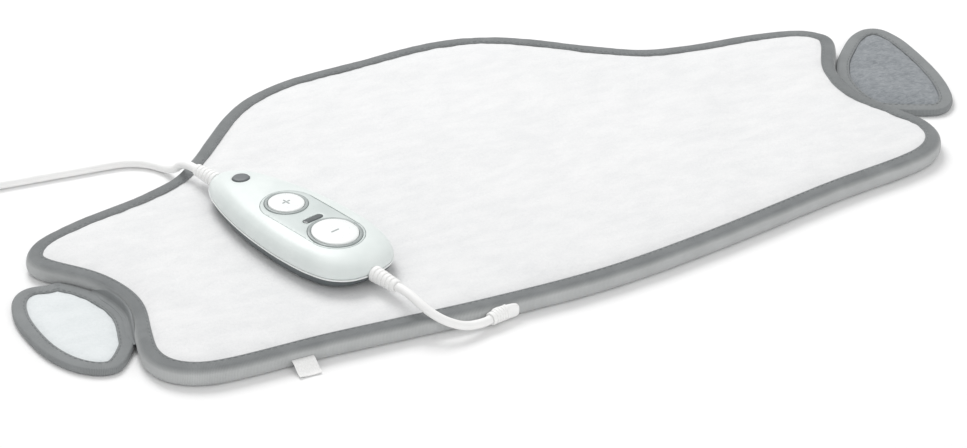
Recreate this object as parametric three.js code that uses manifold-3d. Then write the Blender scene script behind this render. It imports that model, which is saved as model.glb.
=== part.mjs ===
import * as THREE from 'three';
import { mergeVertices } from 'three/addons/utils/BufferGeometryUtils.js';
import Module from 'manifold-3d';

// Back-and-waist heating pad with an in-line controller. Millimetres, +Z up.
// The origin is the middle of the underside. +X runs along the pad, and its lead enters the -Y edge.

// Clearances
const seatGap = 0.3;
const cutOverrun = 3;
const weld = 1e-4;

// Pad: outer size, then the layers from the table up
const padLength = 592;
const padWidth = 323;
const padEdgeHeight = 12;
const padCentreHeight = 14;
const backThickness = 1;
const lowerWaddingThickness = 3;
const carrierThickness = 0.4;
const wireDiameter = 2;
const limiterHeight = 3.3;
const limiterLength = 16;
const limiterWidth = 6;
const fleeceThickness = 2.5;
const waddingEdgeThickness = 2.5;
const wireRowPitch = 20;
const wireEdgeMargin = 12;

// Edge tape of the pad, and the thinner tape of the tabs
const padTape = { width: 10, thickness: 1, bend: 3, height: padEdgeHeight };
const tabTape = { width: 9, thickness: 0.8, bend: 1.5, height: 5 };
const padPlyInset = 4;
const tabPlyInset = 3;
const tabCrownHeight = 5.6;

// Tabs: how far each one reaches from the bottom of the end notch, and its length and middle along Y
const leftTab = { side: -1, reach: 61.5, length: 108, centreY: -42 };
const rightTab = { side: 1, reach: 77.5, length: 122, centreY: -22 };

// Care label sewn into the near edge
const labelWidth = 14;
const labelDrop = 12;
const labelThickness = 0.6;
const labelX = -199;

// Handset: overall size, place and heading on the pad, and its walls
const handsetLength = 150;
const handsetWidth = 62;
const handsetHeight = 22;
const handsetX = -146.3;
const handsetY = -31.6;
const handsetHeadingDegrees = -78;
const wall = 2;
const floorThickness = 2.2;
const roofThickness = 1.8;
const partingHeight = 8.6;
const bandHeight = 1;
const bandProud = 0.4;

// Buttons: round power button and two oval level buttons, on the handset's centre line
const buttonTravel = 1;
const buttonProud = 0.9;
const flangeWidth = 1.5;
const flangeThickness = 1.2;
const capTopThickness = 2.4;
const capPostRadius = 2.4;
const ringWidth = 2;
const ringProud = 0.4;
const powerRadius = 5.5;
const powerX = -51;
const warmer = { x: -7, halfLength: 11.5, halfWidth: 11 };
const cooler = { x: 39, halfLength: 15, halfWidth: 14 };
const panelMargin = 1.6;
const panelThickness = 2.6;
const lensPlaceShare = 0.7;
const lensLength = 14;
const lensWidth = 4.4;
const lightHoleRadius = 1.2;

// Inside the handset
const boardThickness = 1.6;
const boardInset = 3.5;
const boardLength = 120;
const bossRadius = 4.6;
const upperBossRadius = 3.2;
const screwRadius = 1.4;
const screwHeadRadius = 2.7;
const screwHeadThickness = 1.2;
const screwHeadDepth = 1.8;
const screwBite = 4.5;
const farBossX = -32;
const nearBossX = 58;
const bossY = 15.5;
const switchSide = 6;
const switchHeight = 3;
const switchingDevice = { length: 10, width: 15, height: 4.5, x: 0, y: 0 };
const capacitor = { length: 18, width: 8, height: 5.2, x: 22, y: 10 };
const fuseSize = { length: 20, radius: 2.5, x: 20, y: -8 };
const chip = { length: 10, width: 6, height: 1.8, x: -28 };
const plungerRadius = 1.6;
const plungerLength = 2.2;
const plungerWellDepth = 2.4;

// Cords
const cordDiameter = 5.5;
const cordSides = 8;
const reliefLength = 20;
const reliefBaseRadius = 5.2;
const reliefTipRadius = 3.9;
const reliefNeckRadius = 4;
const reliefFlangeRadius = 5.6;
const reliefFlangeThickness = 2;
const reliefRibs = 3;
const reliefRibDepth = 0.5;
const glandX = -72;
const glandLength = 10;
const glandPlateLength = 18;
const glandPlateHeight = 9;
const glandPlateThickness = 2;
const glandSlantDegrees = 68;

// Coil of the mains lead: two layers, its end turn reversed at the inside
const coilX = -306;
const coilY = 186;
const coilTurnsPerLayer = 3.25;
const coilMiddleRadius = 33;
const coilPitch = 6.1;
const coilLayerRise = 6;
const coilClimbBulge = 1.5;
const coilSteps = 24;
const coilSides = 6;
const tieThickness = 0.6;
const tieWidth = 5;
const tieAngleDegrees = -30;

// Mains plug, lying flat
const plugWidth = 35.3;
const plugThickness = 13.7;
const plugLength = 36;
const plugBevel = 1.5;
const plugReliefLength = 20;
const pinRadius = 2;
const pinLength = 19;
const pinSpacing = 18.6;

// Facets
const roundSides = 26;
const smallSides = 12;
const loopSteps = 2;

const wasm = await Module();
wasm.setup();

// Colours
const fleeceWhite = 0xf6f6f5;
const tapeGrey = 0x8b8f90;
const feltGrey = 0x8e9496;
const shellWhite = 0xe9edeb;
const baseGrey = 0x757b7d;
const bandWhite = 0xf4f6f5;
const panelGrey = 0xdfe5e3;
const ringGrey = 0xa3aaa9;
const darkGrey = 0x55585a;
const cordWhite = 0xf2f2f0;
const boardGreen = 0x2f6b45;
const blackPlastic = 0x2a2b2c;
const steel = 0xb9bcbf;
const waddingCream = 0xe7e3d6;
const wireRed = 0xb5543f;

function finish(color, roughness = 0.6, metalness = 0) {
  return new THREE.MeshStandardMaterial({ color, roughness, metalness });
}

function piece(name, geometry, material) {
  const mesh = new THREE.Mesh(geometry, material);
  mesh.name = name;
  return mesh;
}

// Solids for joining and cutting
function solidOf(geometry) {
  const bare = geometry.clone();
  bare.deleteAttribute('normal');
  bare.deleteAttribute('uv');
  const merged = mergeVertices(bare, weld);
  const triVerts = new Uint32Array(merged.index.array);
  const vertProperties = new Float32Array(merged.attributes.position.array);
  return new wasm.Manifold(new wasm.Mesh({ numProp: 3, vertProperties, triVerts }));
}

function geometryOf(solid) {
  const { vertProperties, triVerts } = solid.getMesh();
  const geometry = new THREE.BufferGeometry();
  geometry.setAttribute('position', new THREE.BufferAttribute(vertProperties, 3));
  geometry.setIndex(new THREE.BufferAttribute(triVerts, 1));
  return geometry;
}

// Upright prism on an ellipse, from one height to another
function ovalPrism(halfLength, halfWidth, bottom, top, x = 0, y = 0, sides = roundSides) {
  const geometry = new THREE.CylinderGeometry(1, 1, top - bottom, sides);
  geometry.rotateX(Math.PI / 2);
  geometry.scale(halfLength, halfWidth, 1);
  geometry.translate(x, y, (bottom + top) / 2);
  return solidOf(geometry);
}

function roundPost(radius, bottom, top, x = 0, y = 0, sides = smallSides) {
  return ovalPrism(radius, radius, bottom, top, x, y, sides);
}

function slab(sizeX, sizeY, bottom, top, x = 0, y = 0) {
  const geometry = new THREE.BoxGeometry(sizeX, sizeY, top - bottom);
  geometry.translate(x, y, (bottom + top) / 2);
  return solidOf(geometry);
}

// Prism on a slot with round ends, its long side along X
function slotPrism(length, width, bottom, top, x, y = 0) {
  const radius = width / 2;
  const reach = length / 2 - radius;
  const shape = new THREE.Shape();
  shape.absarc(reach, 0, radius, -Math.PI / 2, Math.PI / 2);
  shape.absarc(-reach, 0, radius, Math.PI / 2, Math.PI * 3 / 2);
  const settings = { depth: top - bottom, bevelEnabled: false, curveSegments: smallSides / 2 };
  const geometry = new THREE.ExtrudeGeometry(shape, settings);
  geometry.translate(x, y, bottom);
  return solidOf(geometry);
}

// Round bar along X
function barAlongX(radius, from, to, z, sides = smallSides) {
  const geometry = new THREE.CylinderGeometry(radius, radius, to - from, sides);
  geometry.rotateZ(-Math.PI / 2);
  geometry.translate((from + to) / 2, 0, z);
  return solidOf(geometry);
}

// A closed outline through points, anticlockwise seen from above
function smoothLoop(points, steps = loopSteps) {
  const places = points.map(([x, y]) => new THREE.Vector3(x, y, 0));
  const curve = new THREE.CatmullRomCurve3(places, true, 'centripetal');
  const samples = curve.getPoints(points.length * steps).slice(0, -1);
  return samples.map((p) => new THREE.Vector2(p.x, p.y));
}

function outwardNormals(loop) {
  return loop.map((point, k) => {
    const before = loop[(k + loop.length - 1) % loop.length];
    const after = loop[(k + 1) % loop.length];
    return new THREE.Vector2(after.y - before.y, before.x - after.x).normalize();
  });
}

// Skin over a profile carried round a loop. Each profile point scales the loop by its share, then
// moves it in by its inset. A share of zero is the middle, and a closed profile makes a ring.
function wrapLoop(loop, profile, closed = false) {
  const normals = outwardNormals(loop);
  const positions = [];
  const rings = profile.map(({ share = 1, inset = 0, z }) => {
    const start = positions.length / 3;
    if (share === 0) {
      positions.push(0, 0, z);
      return loop.map(() => start);
    }
    loop.forEach((point, k) => {
      const x = point.x * share - normals[k].x * inset;
      const y = point.y * share - normals[k].y * inset;
      positions.push(x, y, z);
    });
    return loop.map((point, k) => start + k);
  });
  const index = [];
  const spans = closed ? rings.length : rings.length - 1;
  for (let j = 0; j < spans; j += 1) {
    const low = rings[j];
    const high = rings[(j + 1) % rings.length];
    for (let k = 0; k < loop.length; k += 1) {
      const next = (k + 1) % loop.length;
      if (low[k] !== low[next]) index.push(low[k], low[next], high[next]);
      if (high[k] !== high[next]) index.push(low[k], high[next], high[k]);
    }
  }
  const geometry = new THREE.BufferGeometry();
  geometry.setAttribute('position', new THREE.Float32BufferAttribute(positions, 3));
  geometry.setIndex(index);
  return geometry;
}

// Tape folded round an edge: a U section with bevelled corners
function tapeRing(loop, { width, thickness, bend, height }) {
  const section = [
    [width, 0], [bend, 0], [0, bend], [0, height - bend], [bend, height], [width, height],
    [width, height - thickness], [bend, height - thickness], [thickness, height - bend],
    [thickness, bend], [bend, thickness], [width, thickness],
  ];
  return wrapLoop(loop, section.map(([inset, z]) => ({ inset, z })), true);
}

// A ply that is flat in the middle and drawn together where the tape holds its edge.
// edgeShares says how much of the edge height each ring keeps.
function ply(loop, insets, shares, edgeShares, middle, edge) {
  const height = (k, side) => middle[side] + (edge[side] - middle[side]) * edgeShares[k];
  const ring = (k, side) => ({ share: shares[k], inset: insets[k], z: height(k, side) });
  const order = shares.map((share, k) => k);
  const inward = [...order].reverse();
  return wrapLoop(loop, [
    { share: 0, z: middle[0] },
    ...inward.map((k) => ring(k, 0)),
    ...order.map((k) => ring(k, 1)),
    { share: 0, z: middle[1] },
  ]);
}

// A route given by points, sampled at those points only
class Route extends THREE.Curve {
  constructor(points) {
    super();
    this.points = points;
  }
  getPoint(t, target = new THREE.Vector3()) {
    const place = t * (this.points.length - 1);
    const k = Math.min(Math.floor(place), this.points.length - 2);
    return target.lerpVectors(this.points[k], this.points[k + 1], place - k);
  }
  getPointAt(t, target) {
    return this.getPoint(t, target);
  }
  getTangentAt(t, target = new THREE.Vector3()) {
    const k = Math.round(t * (this.points.length - 1));
    const before = this.points[Math.max(k - 1, 0)];
    const after = this.points[Math.min(k + 1, this.points.length - 1)];
    return target.subVectors(after, before).normalize();
  }
}

function tubeAlong(points, radius, sides) {
  const shape = new THREE.Shape(
    Array.from({ length: sides }, (_, k) => {
      const angle = (k + 1 / 2) / sides * Math.PI * 2;
      return new THREE.Vector2(radius * Math.cos(angle), radius * Math.sin(angle));
    }),
  );
  const settings = { steps: points.length - 1, extrudePath: new Route(points), bevelEnabled: false };
  return new THREE.ExtrudeGeometry(shape, settings);
}

// Pad outline: the right half as shares of half the length and half the width, far edge to near edge
const padOutlineShares = [
  [0, 1], [0.203, 0.991], [0.337, 0.898], [0.521, 0.594], [0.594, 0.489], [0.693, 0.43],
  [0.861, 0.372], [0.962, 0.3], [1, 0.186], [0.918, -0.07], [0.897, -0.27], [0.93, -0.48],
  [0.95, -0.62], [0.938, -0.73], [0.878, -0.83], [0.594, -0.892], [0.248, -0.972], [0, -1],
];
const rightHalf = padOutlineShares.map(([x, y]) => [x * padLength / 2, y * padWidth / 2]);
const leftHalf = rightHalf.slice(1, -1).map(([x, y]) => [-x, y]);
const padLoop = smoothLoop([...leftHalf, rightHalf.at(-1), ...[...rightHalf].reverse().slice(1)]);

// Plies of the pad, from the table up
const lowerWaddingBottom = backThickness + seatGap;
const lowerWaddingTop = lowerWaddingBottom + lowerWaddingThickness;
const carrierBottom = lowerWaddingTop + seatGap;
const carrierTop = carrierBottom + carrierThickness;
const wireHeight = carrierTop + seatGap + wireDiameter / 2;
const limiterBottom = carrierTop + seatGap;
const upperWaddingBottom = limiterBottom + limiterHeight + seatGap;
const fleeceBottom = padCentreHeight - fleeceThickness;
const edgeFloor = padTape.thickness + seatGap;
const edgeCeiling = padEdgeHeight - padTape.thickness - seatGap;
const lowerWaddingEdge = edgeFloor + backThickness + seatGap;
const upperWaddingEdge = lowerWaddingEdge + waddingEdgeThickness + seatGap;

const padPlyInsets = [padPlyInset, padTape.width + seatGap, padTape.width, padTape.width];
const padPlyShares = [1, 1, 0.955, 0.9];
const padEdgeShares = [1, 1, 0.34, 0];
const showingRings = [0, 1, 2, 3];
const hiddenRings = [0, 1, 3];
function padPly(middle, edge, rings = hiddenRings) {
  const [insets, shares, edgeShares] = [padPlyInsets, padPlyShares, padEdgeShares]
    .map((list) => rings.map((k) => list[k]));
  return ply(padLoop, insets, shares, edgeShares, middle, edge);
}
const carrierShare = 0.88;
const carrierLoop = padLoop.map((point) => point.clone().multiplyScalar(carrierShare));
const carrierInset = padTape.width;

// Half the width of the carrier at a given y
function carrierSpan(y) {
  const crossings = carrierLoop.flatMap((a, k) => {
    const b = carrierLoop[(k + 1) % carrierLoop.length];
    if ((a.y - y) * (b.y - y) > 0 || a.y === b.y) return [];
    return [a.x + (b.x - a.x) * (y - a.y) / (b.y - a.y)];
  });
  return Math.min(...crossings.filter((x) => x > 0)) - carrierInset - wireEdgeMargin;
}

// Heating wire: straight rows joined by half circles, starting near the lead's entry
function heatingWireRoute() {
  const turnRadius = wireRowPitch / 2;
  const turnSteps = 4;
  const reach = carrierShare * padWidth / 2 - carrierInset - wireEdgeMargin;
  const rows = 2 * Math.floor(reach / wireRowPitch);
  const rowY = (k) => (k - (rows - 1) / 2) * wireRowPitch;
  const points = [new THREE.Vector3(glandX, rowY(0), wireHeight)];
  for (let k = 0; k < rows; k += 1) {
    const side = k % 2 ? -1 : 1;
    if (k === rows - 1) {
      points.push(new THREE.Vector3(0, rowY(k), wireHeight));
      break;
    }
    const span = Math.min(carrierSpan(rowY(k)), carrierSpan(rowY(k + 1))) - turnRadius;
    const centreY = rowY(k) + turnRadius;
    for (let step = 0; step <= turnSteps; step += 1) {
      const angle = -Math.PI / 2 + Math.PI * step / turnSteps;
      const x = side * (span + turnRadius * Math.cos(angle));
      points.push(new THREE.Vector3(x, centreY + turnRadius * Math.sin(angle), wireHeight));
    }
  }
  return points;
}

function limiter(x, rowsUp) {
  const y = wireRowPitch * rowsUp;
  const top = limiterBottom + limiterHeight;
  return geometryOf(slotPrism(limiterLength, limiterWidth, limiterBottom, top, x, y));
}

function buildPad() {
  const group = new THREE.Group();
  const fleece = finish(fleeceWhite, 0.95);
  const wadding = finish(waddingCream, 1);
  const backCover = padPly([0, backThickness], [edgeFloor, edgeFloor + backThickness]);
  const lowerWadding = padPly(
    [lowerWaddingBottom, lowerWaddingTop],
    [lowerWaddingEdge, lowerWaddingEdge + waddingEdgeThickness],
  );
  const upperWadding = padPly(
    [upperWaddingBottom, fleeceBottom - seatGap],
    [upperWaddingEdge, edgeCeiling - fleeceThickness - seatGap],
  );
  const topEdge = [edgeCeiling - fleeceThickness, edgeCeiling];
  const topCover = padPly([fleeceBottom, padCentreHeight], topEdge, showingRings);
  const carrier = wrapLoop(carrierLoop, [
    { share: 0, z: carrierBottom },
    { inset: carrierInset, z: carrierBottom },
    { inset: carrierInset, z: carrierTop },
    { share: 0, z: carrierTop },
  ]);
  const wire = tubeAlong(heatingWireRoute(), wireDiameter / 2, coilSides);
  group.add(
    piece('pad_back_cover', backCover, fleece),
    piece('lower_wadding', lowerWadding, wadding),
    piece('wire_carrier', carrier, wadding),
    piece('heating_wire', wire, finish(wireRed, 0.5)),
    piece('overheat_limiter_1', limiter(-padLength / 6, 1), finish(darkGrey)),
    piece('overheat_limiter_2', limiter(padLength / 6, -1), finish(darkGrey)),
    piece('upper_wadding', upperWadding, wadding),
    piece('pad_top_cover', topCover, fleece),
    piece('edge_binding', tapeRing(padLoop, padTape), finish(tapeGrey, 0.9)),
  );
  return group;
}

// Tabs. The inner side follows the notch between two root shares of the length, and the outer side
// runs round these shares of the reach and of the length, far end to near end.
const leftTabShares = [
  [0.43, 0.47], [0.55, 0.497], [0.7, 0.495], [0.85, 0.43], [0.96, 0.275], [1, 0.06],
  [0.97, -0.175], [0.84, -0.37], [0.65, -0.48], [0.48, -0.5], [0.35, -0.45],
];
const leftRootShares = [0.49, -0.375];
const rightTabShares = [
  [0.44, 0.365], [0.67, 0.475], [0.84, 0.5], [0.955, 0.455], [1, 0.33], [0.985, 0.16],
  [0.93, -0.06], [0.82, -0.3], [0.68, -0.45], [0.52, -0.495], [0.33, -0.44],
];
const rightRootShares = [0.29, -0.375];
const notchX = padLength / 2 * padOutlineShares[10][0];

function tabLoop({ reach, length, centreY }, outerShares, rootShares) {
  const normals = outwardNormals(padLoop);
  const [farRoot, nearRoot] = rootShares.map((share) => centreY + share * length);
  const inNotch = (point) => point.x > notchX - seatGap && point.y < farRoot && point.y > nearRoot;
  const inner = padLoop.filter(inNotch).map((point) => {
    const normal = normals[padLoop.indexOf(point)];
    return new THREE.Vector3(point.x + normal.x * seatGap, point.y + normal.y * seatGap, 0);
  });
  inner.sort((a, b) => b.y - a.y);
  const outer = outerShares.map(([x, y]) => {
    return new THREE.Vector3(notchX + x * reach, centreY + y * length, 0);
  });
  const places = [inner[0], ...outer, inner.at(-1)];
  const curve = new THREE.CatmullRomCurve3(places, false, 'centripetal');
  const outside = curve.getPoints((outer.length + 1) * loopSteps).slice(1, -1);
  return [...outside.reverse(), ...inner].map((p) => new THREE.Vector2(p.x, p.y));
}

function buildTab(tab, outerShares, rootShares, name, faceMaterial) {
  const group = new THREE.Group();
  const centreX = notchX + tab.reach / 2;
  const outline = tabLoop(tab, outerShares, rootShares);
  const local = outline.map((p) => new THREE.Vector2(tab.side * (p.x - centreX), p.y - tab.centreY));
  const loop = tab.side > 0 ? local : local.reverse();
  const channelFloor = tabTape.thickness + seatGap;
  const channelCeiling = tabTape.height - tabTape.thickness - seatGap;
  const insets = [tabPlyInset, tabTape.width + seatGap, tabTape.width];
  const shares = [1, 1, 0.85];
  const edgeShares = [1, 1, 0];
  const face = ply(loop, insets, shares, edgeShares, [0, tabCrownHeight], [channelFloor, channelCeiling]);
  group.position.set(tab.side * centreX, tab.centreY, 0);
  group.add(
    piece(`${name}_tab_pad`, face, faceMaterial),
    piece(`${name}_tab_binding`, tapeRing(loop, tabTape), finish(tapeGrey, 0.9)),
  );
  return group;
}

// The place on the near edge at a given x, and the direction along the edge there
function nearEdgeAt(x) {
  const k = padLoop.findIndex((a, index) => {
    const b = padLoop[(index + 1) % padLoop.length];
    return a.y < 0 && b.y < 0 && a.x <= x && b.x > x;
  });
  const a = padLoop[k];
  const b = padLoop[(k + 1) % padLoop.length];
  const y = a.y + (b.y - a.y) * (x - a.x) / (b.x - a.x);
  return { x, y, angle: Math.atan2(b.y - a.y, b.x - a.x) };
}

function onNearEdge(x, mesh, z) {
  const edge = nearEdgeAt(x);
  const group = new THREE.Group();
  group.position.set(edge.x, edge.y, z);
  group.rotation.z = edge.angle;
  group.add(mesh);
  return group;
}

// Label: a strip that leaves the edge half way up and curls down to the table
function buildLabel() {
  const startHeight = padEdgeHeight / 2;
  const droop = (share) => (startHeight - labelThickness) * (1 - Math.cos(Math.PI * share)) / 2;
  const stations = [0, 0.2, 0.4, 0.6, 0.8, 1];
  const upper = stations.map((share) => [-seatGap - labelDrop * share, startHeight - droop(share)]);
  const lower = upper.map(([y, z]) => [y, z - labelThickness]).reverse();
  const shape = new THREE.Shape([...upper, ...lower].map(([y, z]) => new THREE.Vector2(y, z)));
  const geometry = new THREE.ExtrudeGeometry(shape, { depth: labelWidth, bevelEnabled: false });
  geometry.translate(0, 0, -labelWidth / 2);
  geometry.rotateY(Math.PI / 2);
  geometry.rotateX(Math.PI / 2);
  return onNearEdge(labelX, piece('care_label', geometry, finish(fleeceWhite, 0.8)), 0);
}

// Gland: a plate on the edge tape, with a slanted taper that the lead enters
function buildGland() {
  const slant = THREE.MathUtils.degToRad(glandSlantDegrees);
  const reach = glandLength + glandPlateThickness;
  const taper = new THREE.CylinderGeometry(reliefTipRadius, reliefBaseRadius, reach, smallSides);
  taper.translate(0, reach / 2, 0);
  taper.rotateZ(Math.PI - slant);
  const back = -seatGap;
  const behind = new THREE.BoxGeometry(glandPlateLength * 2, glandPlateLength, glandPlateLength);
  behind.translate(0, back + glandPlateLength / 2, 0);
  const plate = new THREE.BoxGeometry(glandPlateLength, glandPlateThickness, glandPlateHeight);
  plate.translate(0, back - glandPlateThickness / 2, 0);
  const solid = solidOf(taper).subtract(solidOf(behind)).add(solidOf(plate));
  const mesh = piece('pad_cord_gland', geometryOf(solid), finish(cordWhite, 0.5));
  return onNearEdge(glandX, mesh, padEdgeHeight / 2);
}

// Handset plan: half widths as shares of half the width, at shares of the length from the far tip
const handsetPlanShares = [
  [0, 0], [0.02, 0.27], [0.08, 0.48], [0.2, 0.69], [0.36, 0.87], [0.52, 0.97], [0.68, 1],
  [0.82, 0.95], [0.92, 0.8], [0.98, 0.5], [1, 0],
];
const handsetSide = handsetPlanShares.map(([along, half]) => [
  (along - 1 / 2) * handsetLength,
  half * handsetWidth / 2,
]);
const handsetLoop = smoothLoop([
  ...handsetSide.map(([x, y]) => [x, -y]),
  ...handsetSide.slice(1, -1).reverse(),
]);

// Outer heights of the shells as shares of the plan and of the height above or below the parting
const lowerRim = partingHeight - bandHeight / 2 - seatGap;
const upperRim = partingHeight + bandHeight / 2 + seatGap;
const upperRise = handsetHeight - upperRim;
const underShares = [[0.8, 0], [0.89, 0.14], [0.955, 0.45], [0.99, 0.8], [1, 1]];
const crownShares = [
  [1, 0], [0.995, 0.18], [0.962, 0.46], [0.9, 0.69], [0.8, 0.85], [0.64, 0.945], [0.36, 0.99], [0, 1],
];
const crownProfile = crownShares.map(([share, rise]) => ({ share, z: upperRim + upperRise * rise }));
const underProfile = underShares.map(([share, rise]) => ({ share, z: lowerRim * rise }));
const pocketFloor = handsetHeight - panelThickness - seatGap;
const ceiling = pocketFloor - roofThickness;

const crown = solidOf(wrapLoop(handsetLoop, [{ share: 0, z: lowerRim }, { z: lowerRim }, ...crownProfile]));

// Boards, switches and buttons stack down from the ceiling
const flangeTop = ceiling - seatGap;
const flangeBottom = flangeTop - flangeThickness;
const boardBottom = upperRim + seatGap;
const boardTop = boardBottom + boardThickness;
const switchBottom = boardTop + seatGap;
const switchTop = switchBottom + switchHeight;
const plungerTop = flangeBottom - seatGap;
const plungerBottom = plungerTop - plungerLength;
const bossPlaces = [farBossX, nearBossX].flatMap((x) => [[x, -bossY], [x, bossY]]);
const shaftHoleRadius = screwRadius + seatGap;
const screwTip = boardTop + screwBite;

const reliefEndShare = 0.9;
const reliefFlangeOuter = handsetLength / 2 * reliefEndShare - wall - seatGap;
const reliefHoleRadius = reliefNeckRadius + seatGap;

// The neck of each strain relief passes the end walls at the parting
function cutReliefHoles(solid) {
  const from = reliefFlangeOuter - cutOverrun;
  const to = handsetLength / 2 + cutOverrun;
  const near = barAlongX(reliefHoleRadius, from, to, partingHeight);
  const far = barAlongX(reliefHoleRadius, -to, -from, partingHeight);
  return solid.subtract(near).subtract(far);
}

function buildLowerShell() {
  const inner = [
    { inset: wall, z: lowerRim },
    { share: 0.955, inset: wall, z: lowerRim / 2 },
    { share: 0.86, inset: wall, z: floorThickness },
    { share: 0, z: floorThickness },
  ];
  let solid = solidOf(wrapLoop(handsetLoop, [{ share: 0, z: 0 }, ...underProfile, ...inner]));
  for (const [x, y] of bossPlaces) {
    solid = solid.add(roundPost(bossRadius, floorThickness / 2, boardBottom - seatGap, x, y));
  }
  for (const [x, y] of bossPlaces) {
    const headHole = roundPost(screwHeadRadius + seatGap, -cutOverrun, screwHeadDepth, x, y);
    const shaftHole = roundPost(shaftHoleRadius, -cutOverrun, boardBottom + cutOverrun, x, y);
    solid = solid.subtract(headHole).subtract(shaftHole);
  }
  return geometryOf(cutReliefHoles(solid));
}

const panelStart = warmer.x - warmer.halfLength - ringWidth - panelMargin;
const panelEnd = cooler.x + cooler.halfLength + ringWidth + panelMargin;
const panelLength = panelEnd - panelStart;
const panelX = (panelStart + panelEnd) / 2;
const panelWidth = 2 * (cooler.halfWidth + ringWidth + panelMargin);
const lensStart = warmer.x + warmer.halfLength;
const lensX = lensStart + (cooler.x - cooler.halfLength - lensStart) * lensPlaceShare;
const lamp = { length: 3.2, width: 2.8, height: 1.8, x: lensX };
const skyHeight = handsetHeight + cutOverrun;

function buttonPrism({ x, halfLength, halfWidth }, margin, bottom, top) {
  return ovalPrism(halfLength + margin, halfWidth + margin, bottom, top, x);
}

function lensPrism(margin, bottom, top) {
  return slotPrism(lensLength + 2 * margin, lensWidth + 2 * margin, bottom, top, 0)
    .rotate([0, 0, 90])
    .translate([lensX, 0, 0]);
}

const powerKey = { x: powerX, halfLength: powerRadius, halfWidth: powerRadius };

function buildUpperShell() {
  const inner = [
    { share: 0, z: ceiling },
    { share: 0.86, inset: wall, z: ceiling },
    { share: 0.955, inset: wall, z: (ceiling + upperRim) / 2 + wall },
    { inset: wall, z: upperRim },
  ];
  let solid = solidOf(wrapLoop(handsetLoop, [...inner, ...crownProfile]));
  for (const [x, y] of bossPlaces) {
    solid = solid.add(roundPost(upperBossRadius, boardTop + seatGap, ceiling + roofThickness / 2, x, y));
  }
  for (const [x, y] of bossPlaces) {
    solid = solid.subtract(roundPost(shaftHoleRadius, boardTop, screwTip + seatGap, x, y));
  }
  const pocketLength = panelLength + 2 * seatGap;
  const pocketWidth = panelWidth + 2 * seatGap;
  solid = solid.subtract(slotPrism(pocketLength, pocketWidth, pocketFloor, skyHeight, panelX));
  for (const key of [powerKey, warmer, cooler]) {
    solid = solid.subtract(buttonPrism(key, seatGap, ceiling - cutOverrun, skyHeight));
  }
  solid = solid.subtract(roundPost(lightHoleRadius, ceiling - cutOverrun, skyHeight, lensX));
  return geometryOf(cutReliefHoles(solid));
}

// Parting band: one strip each side, between the strain reliefs
function bandHalves() {
  const low = partingHeight - bandHeight / 2;
  const high = partingHeight + bandHeight / 2;
  const section = [
    { inset: wall, z: low },
    { inset: -bandProud, z: low },
    { inset: -bandProud, z: high },
    { inset: wall, z: high },
  ];
  const ring = cutReliefHoles(solidOf(wrapLoop(handsetLoop, section, true)));
  return ring.decompose();
}

function buildPanel() {
  const blank = slotPrism(panelLength, panelWidth, pocketFloor + seatGap, skyHeight, panelX);
  const hole = (key) => buttonPrism(key, ringWidth + 2 * seatGap, 0, skyHeight);
  return blank.intersect(crown).subtract(hole(warmer)).subtract(hole(cooler))
    .subtract(lensPrism(seatGap, 0, skyHeight));
}

function buildLens() {
  return geometryOf(lensPrism(0, pocketFloor + seatGap, skyHeight).intersect(crown));
}

function buildRing(key) {
  const outer = buttonPrism(key, seatGap + ringWidth, pocketFloor + seatGap, skyHeight);
  const inner = buttonPrism(key, seatGap, 0, skyHeight);
  return geometryOf(outer.subtract(inner).intersect(crown.translate([0, 0, ringProud])));
}

// Button cap: follows the crown, and its flange stops under the ceiling
function buildCap(key, hollow) {
  const capTop = crown.translate([0, 0, buttonProud]);
  let solid = buttonPrism(key, 0, flangeBottom, skyHeight).intersect(capTop);
  solid = solid.add(buttonPrism(key, flangeWidth, flangeBottom, flangeTop));
  if (hollow) {
    const pocketTop = handsetHeight - capTopThickness;
    const pocket = buttonPrism(key, -wall, 0, pocketTop);
    solid = solid.subtract(pocket).add(roundPost(capPostRadius, flangeBottom, pocketTop + seatGap, key.x));
  }
  return geometryOf(solid);
}

function buildPlunger(x) {
  return geometryOf(roundPost(plungerRadius, plungerBottom, plungerTop, x));
}

function buildSwitch(x) {
  const body = slab(switchSide, switchSide, switchBottom, switchTop, x);
  const well = roundPost(plungerRadius + seatGap, switchTop - plungerWellDepth, skyHeight, x);
  return geometryOf(body.subtract(well));
}

function buildBoard() {
  const blank = solidOf(wrapLoop(handsetLoop, [
    { share: 0, z: boardBottom },
    { inset: boardInset, z: boardBottom },
    { inset: boardInset, z: boardTop },
    { share: 0, z: boardTop },
  ]));
  let solid = blank.intersect(slab(boardLength, handsetWidth, 0, skyHeight));
  for (const [x, y] of bossPlaces) {
    solid = solid.subtract(roundPost(shaftHoleRadius, 0, skyHeight, x, y));
  }
  return geometryOf(solid);
}

function buildScrew([x, y]) {
  const headTop = screwHeadDepth - seatGap;
  const head = roundPost(screwHeadRadius, headTop - screwHeadThickness, headTop, x, y);
  return geometryOf(head.add(roundPost(screwRadius, headTop - screwHeadThickness / 2, screwTip, x, y)));
}

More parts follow.
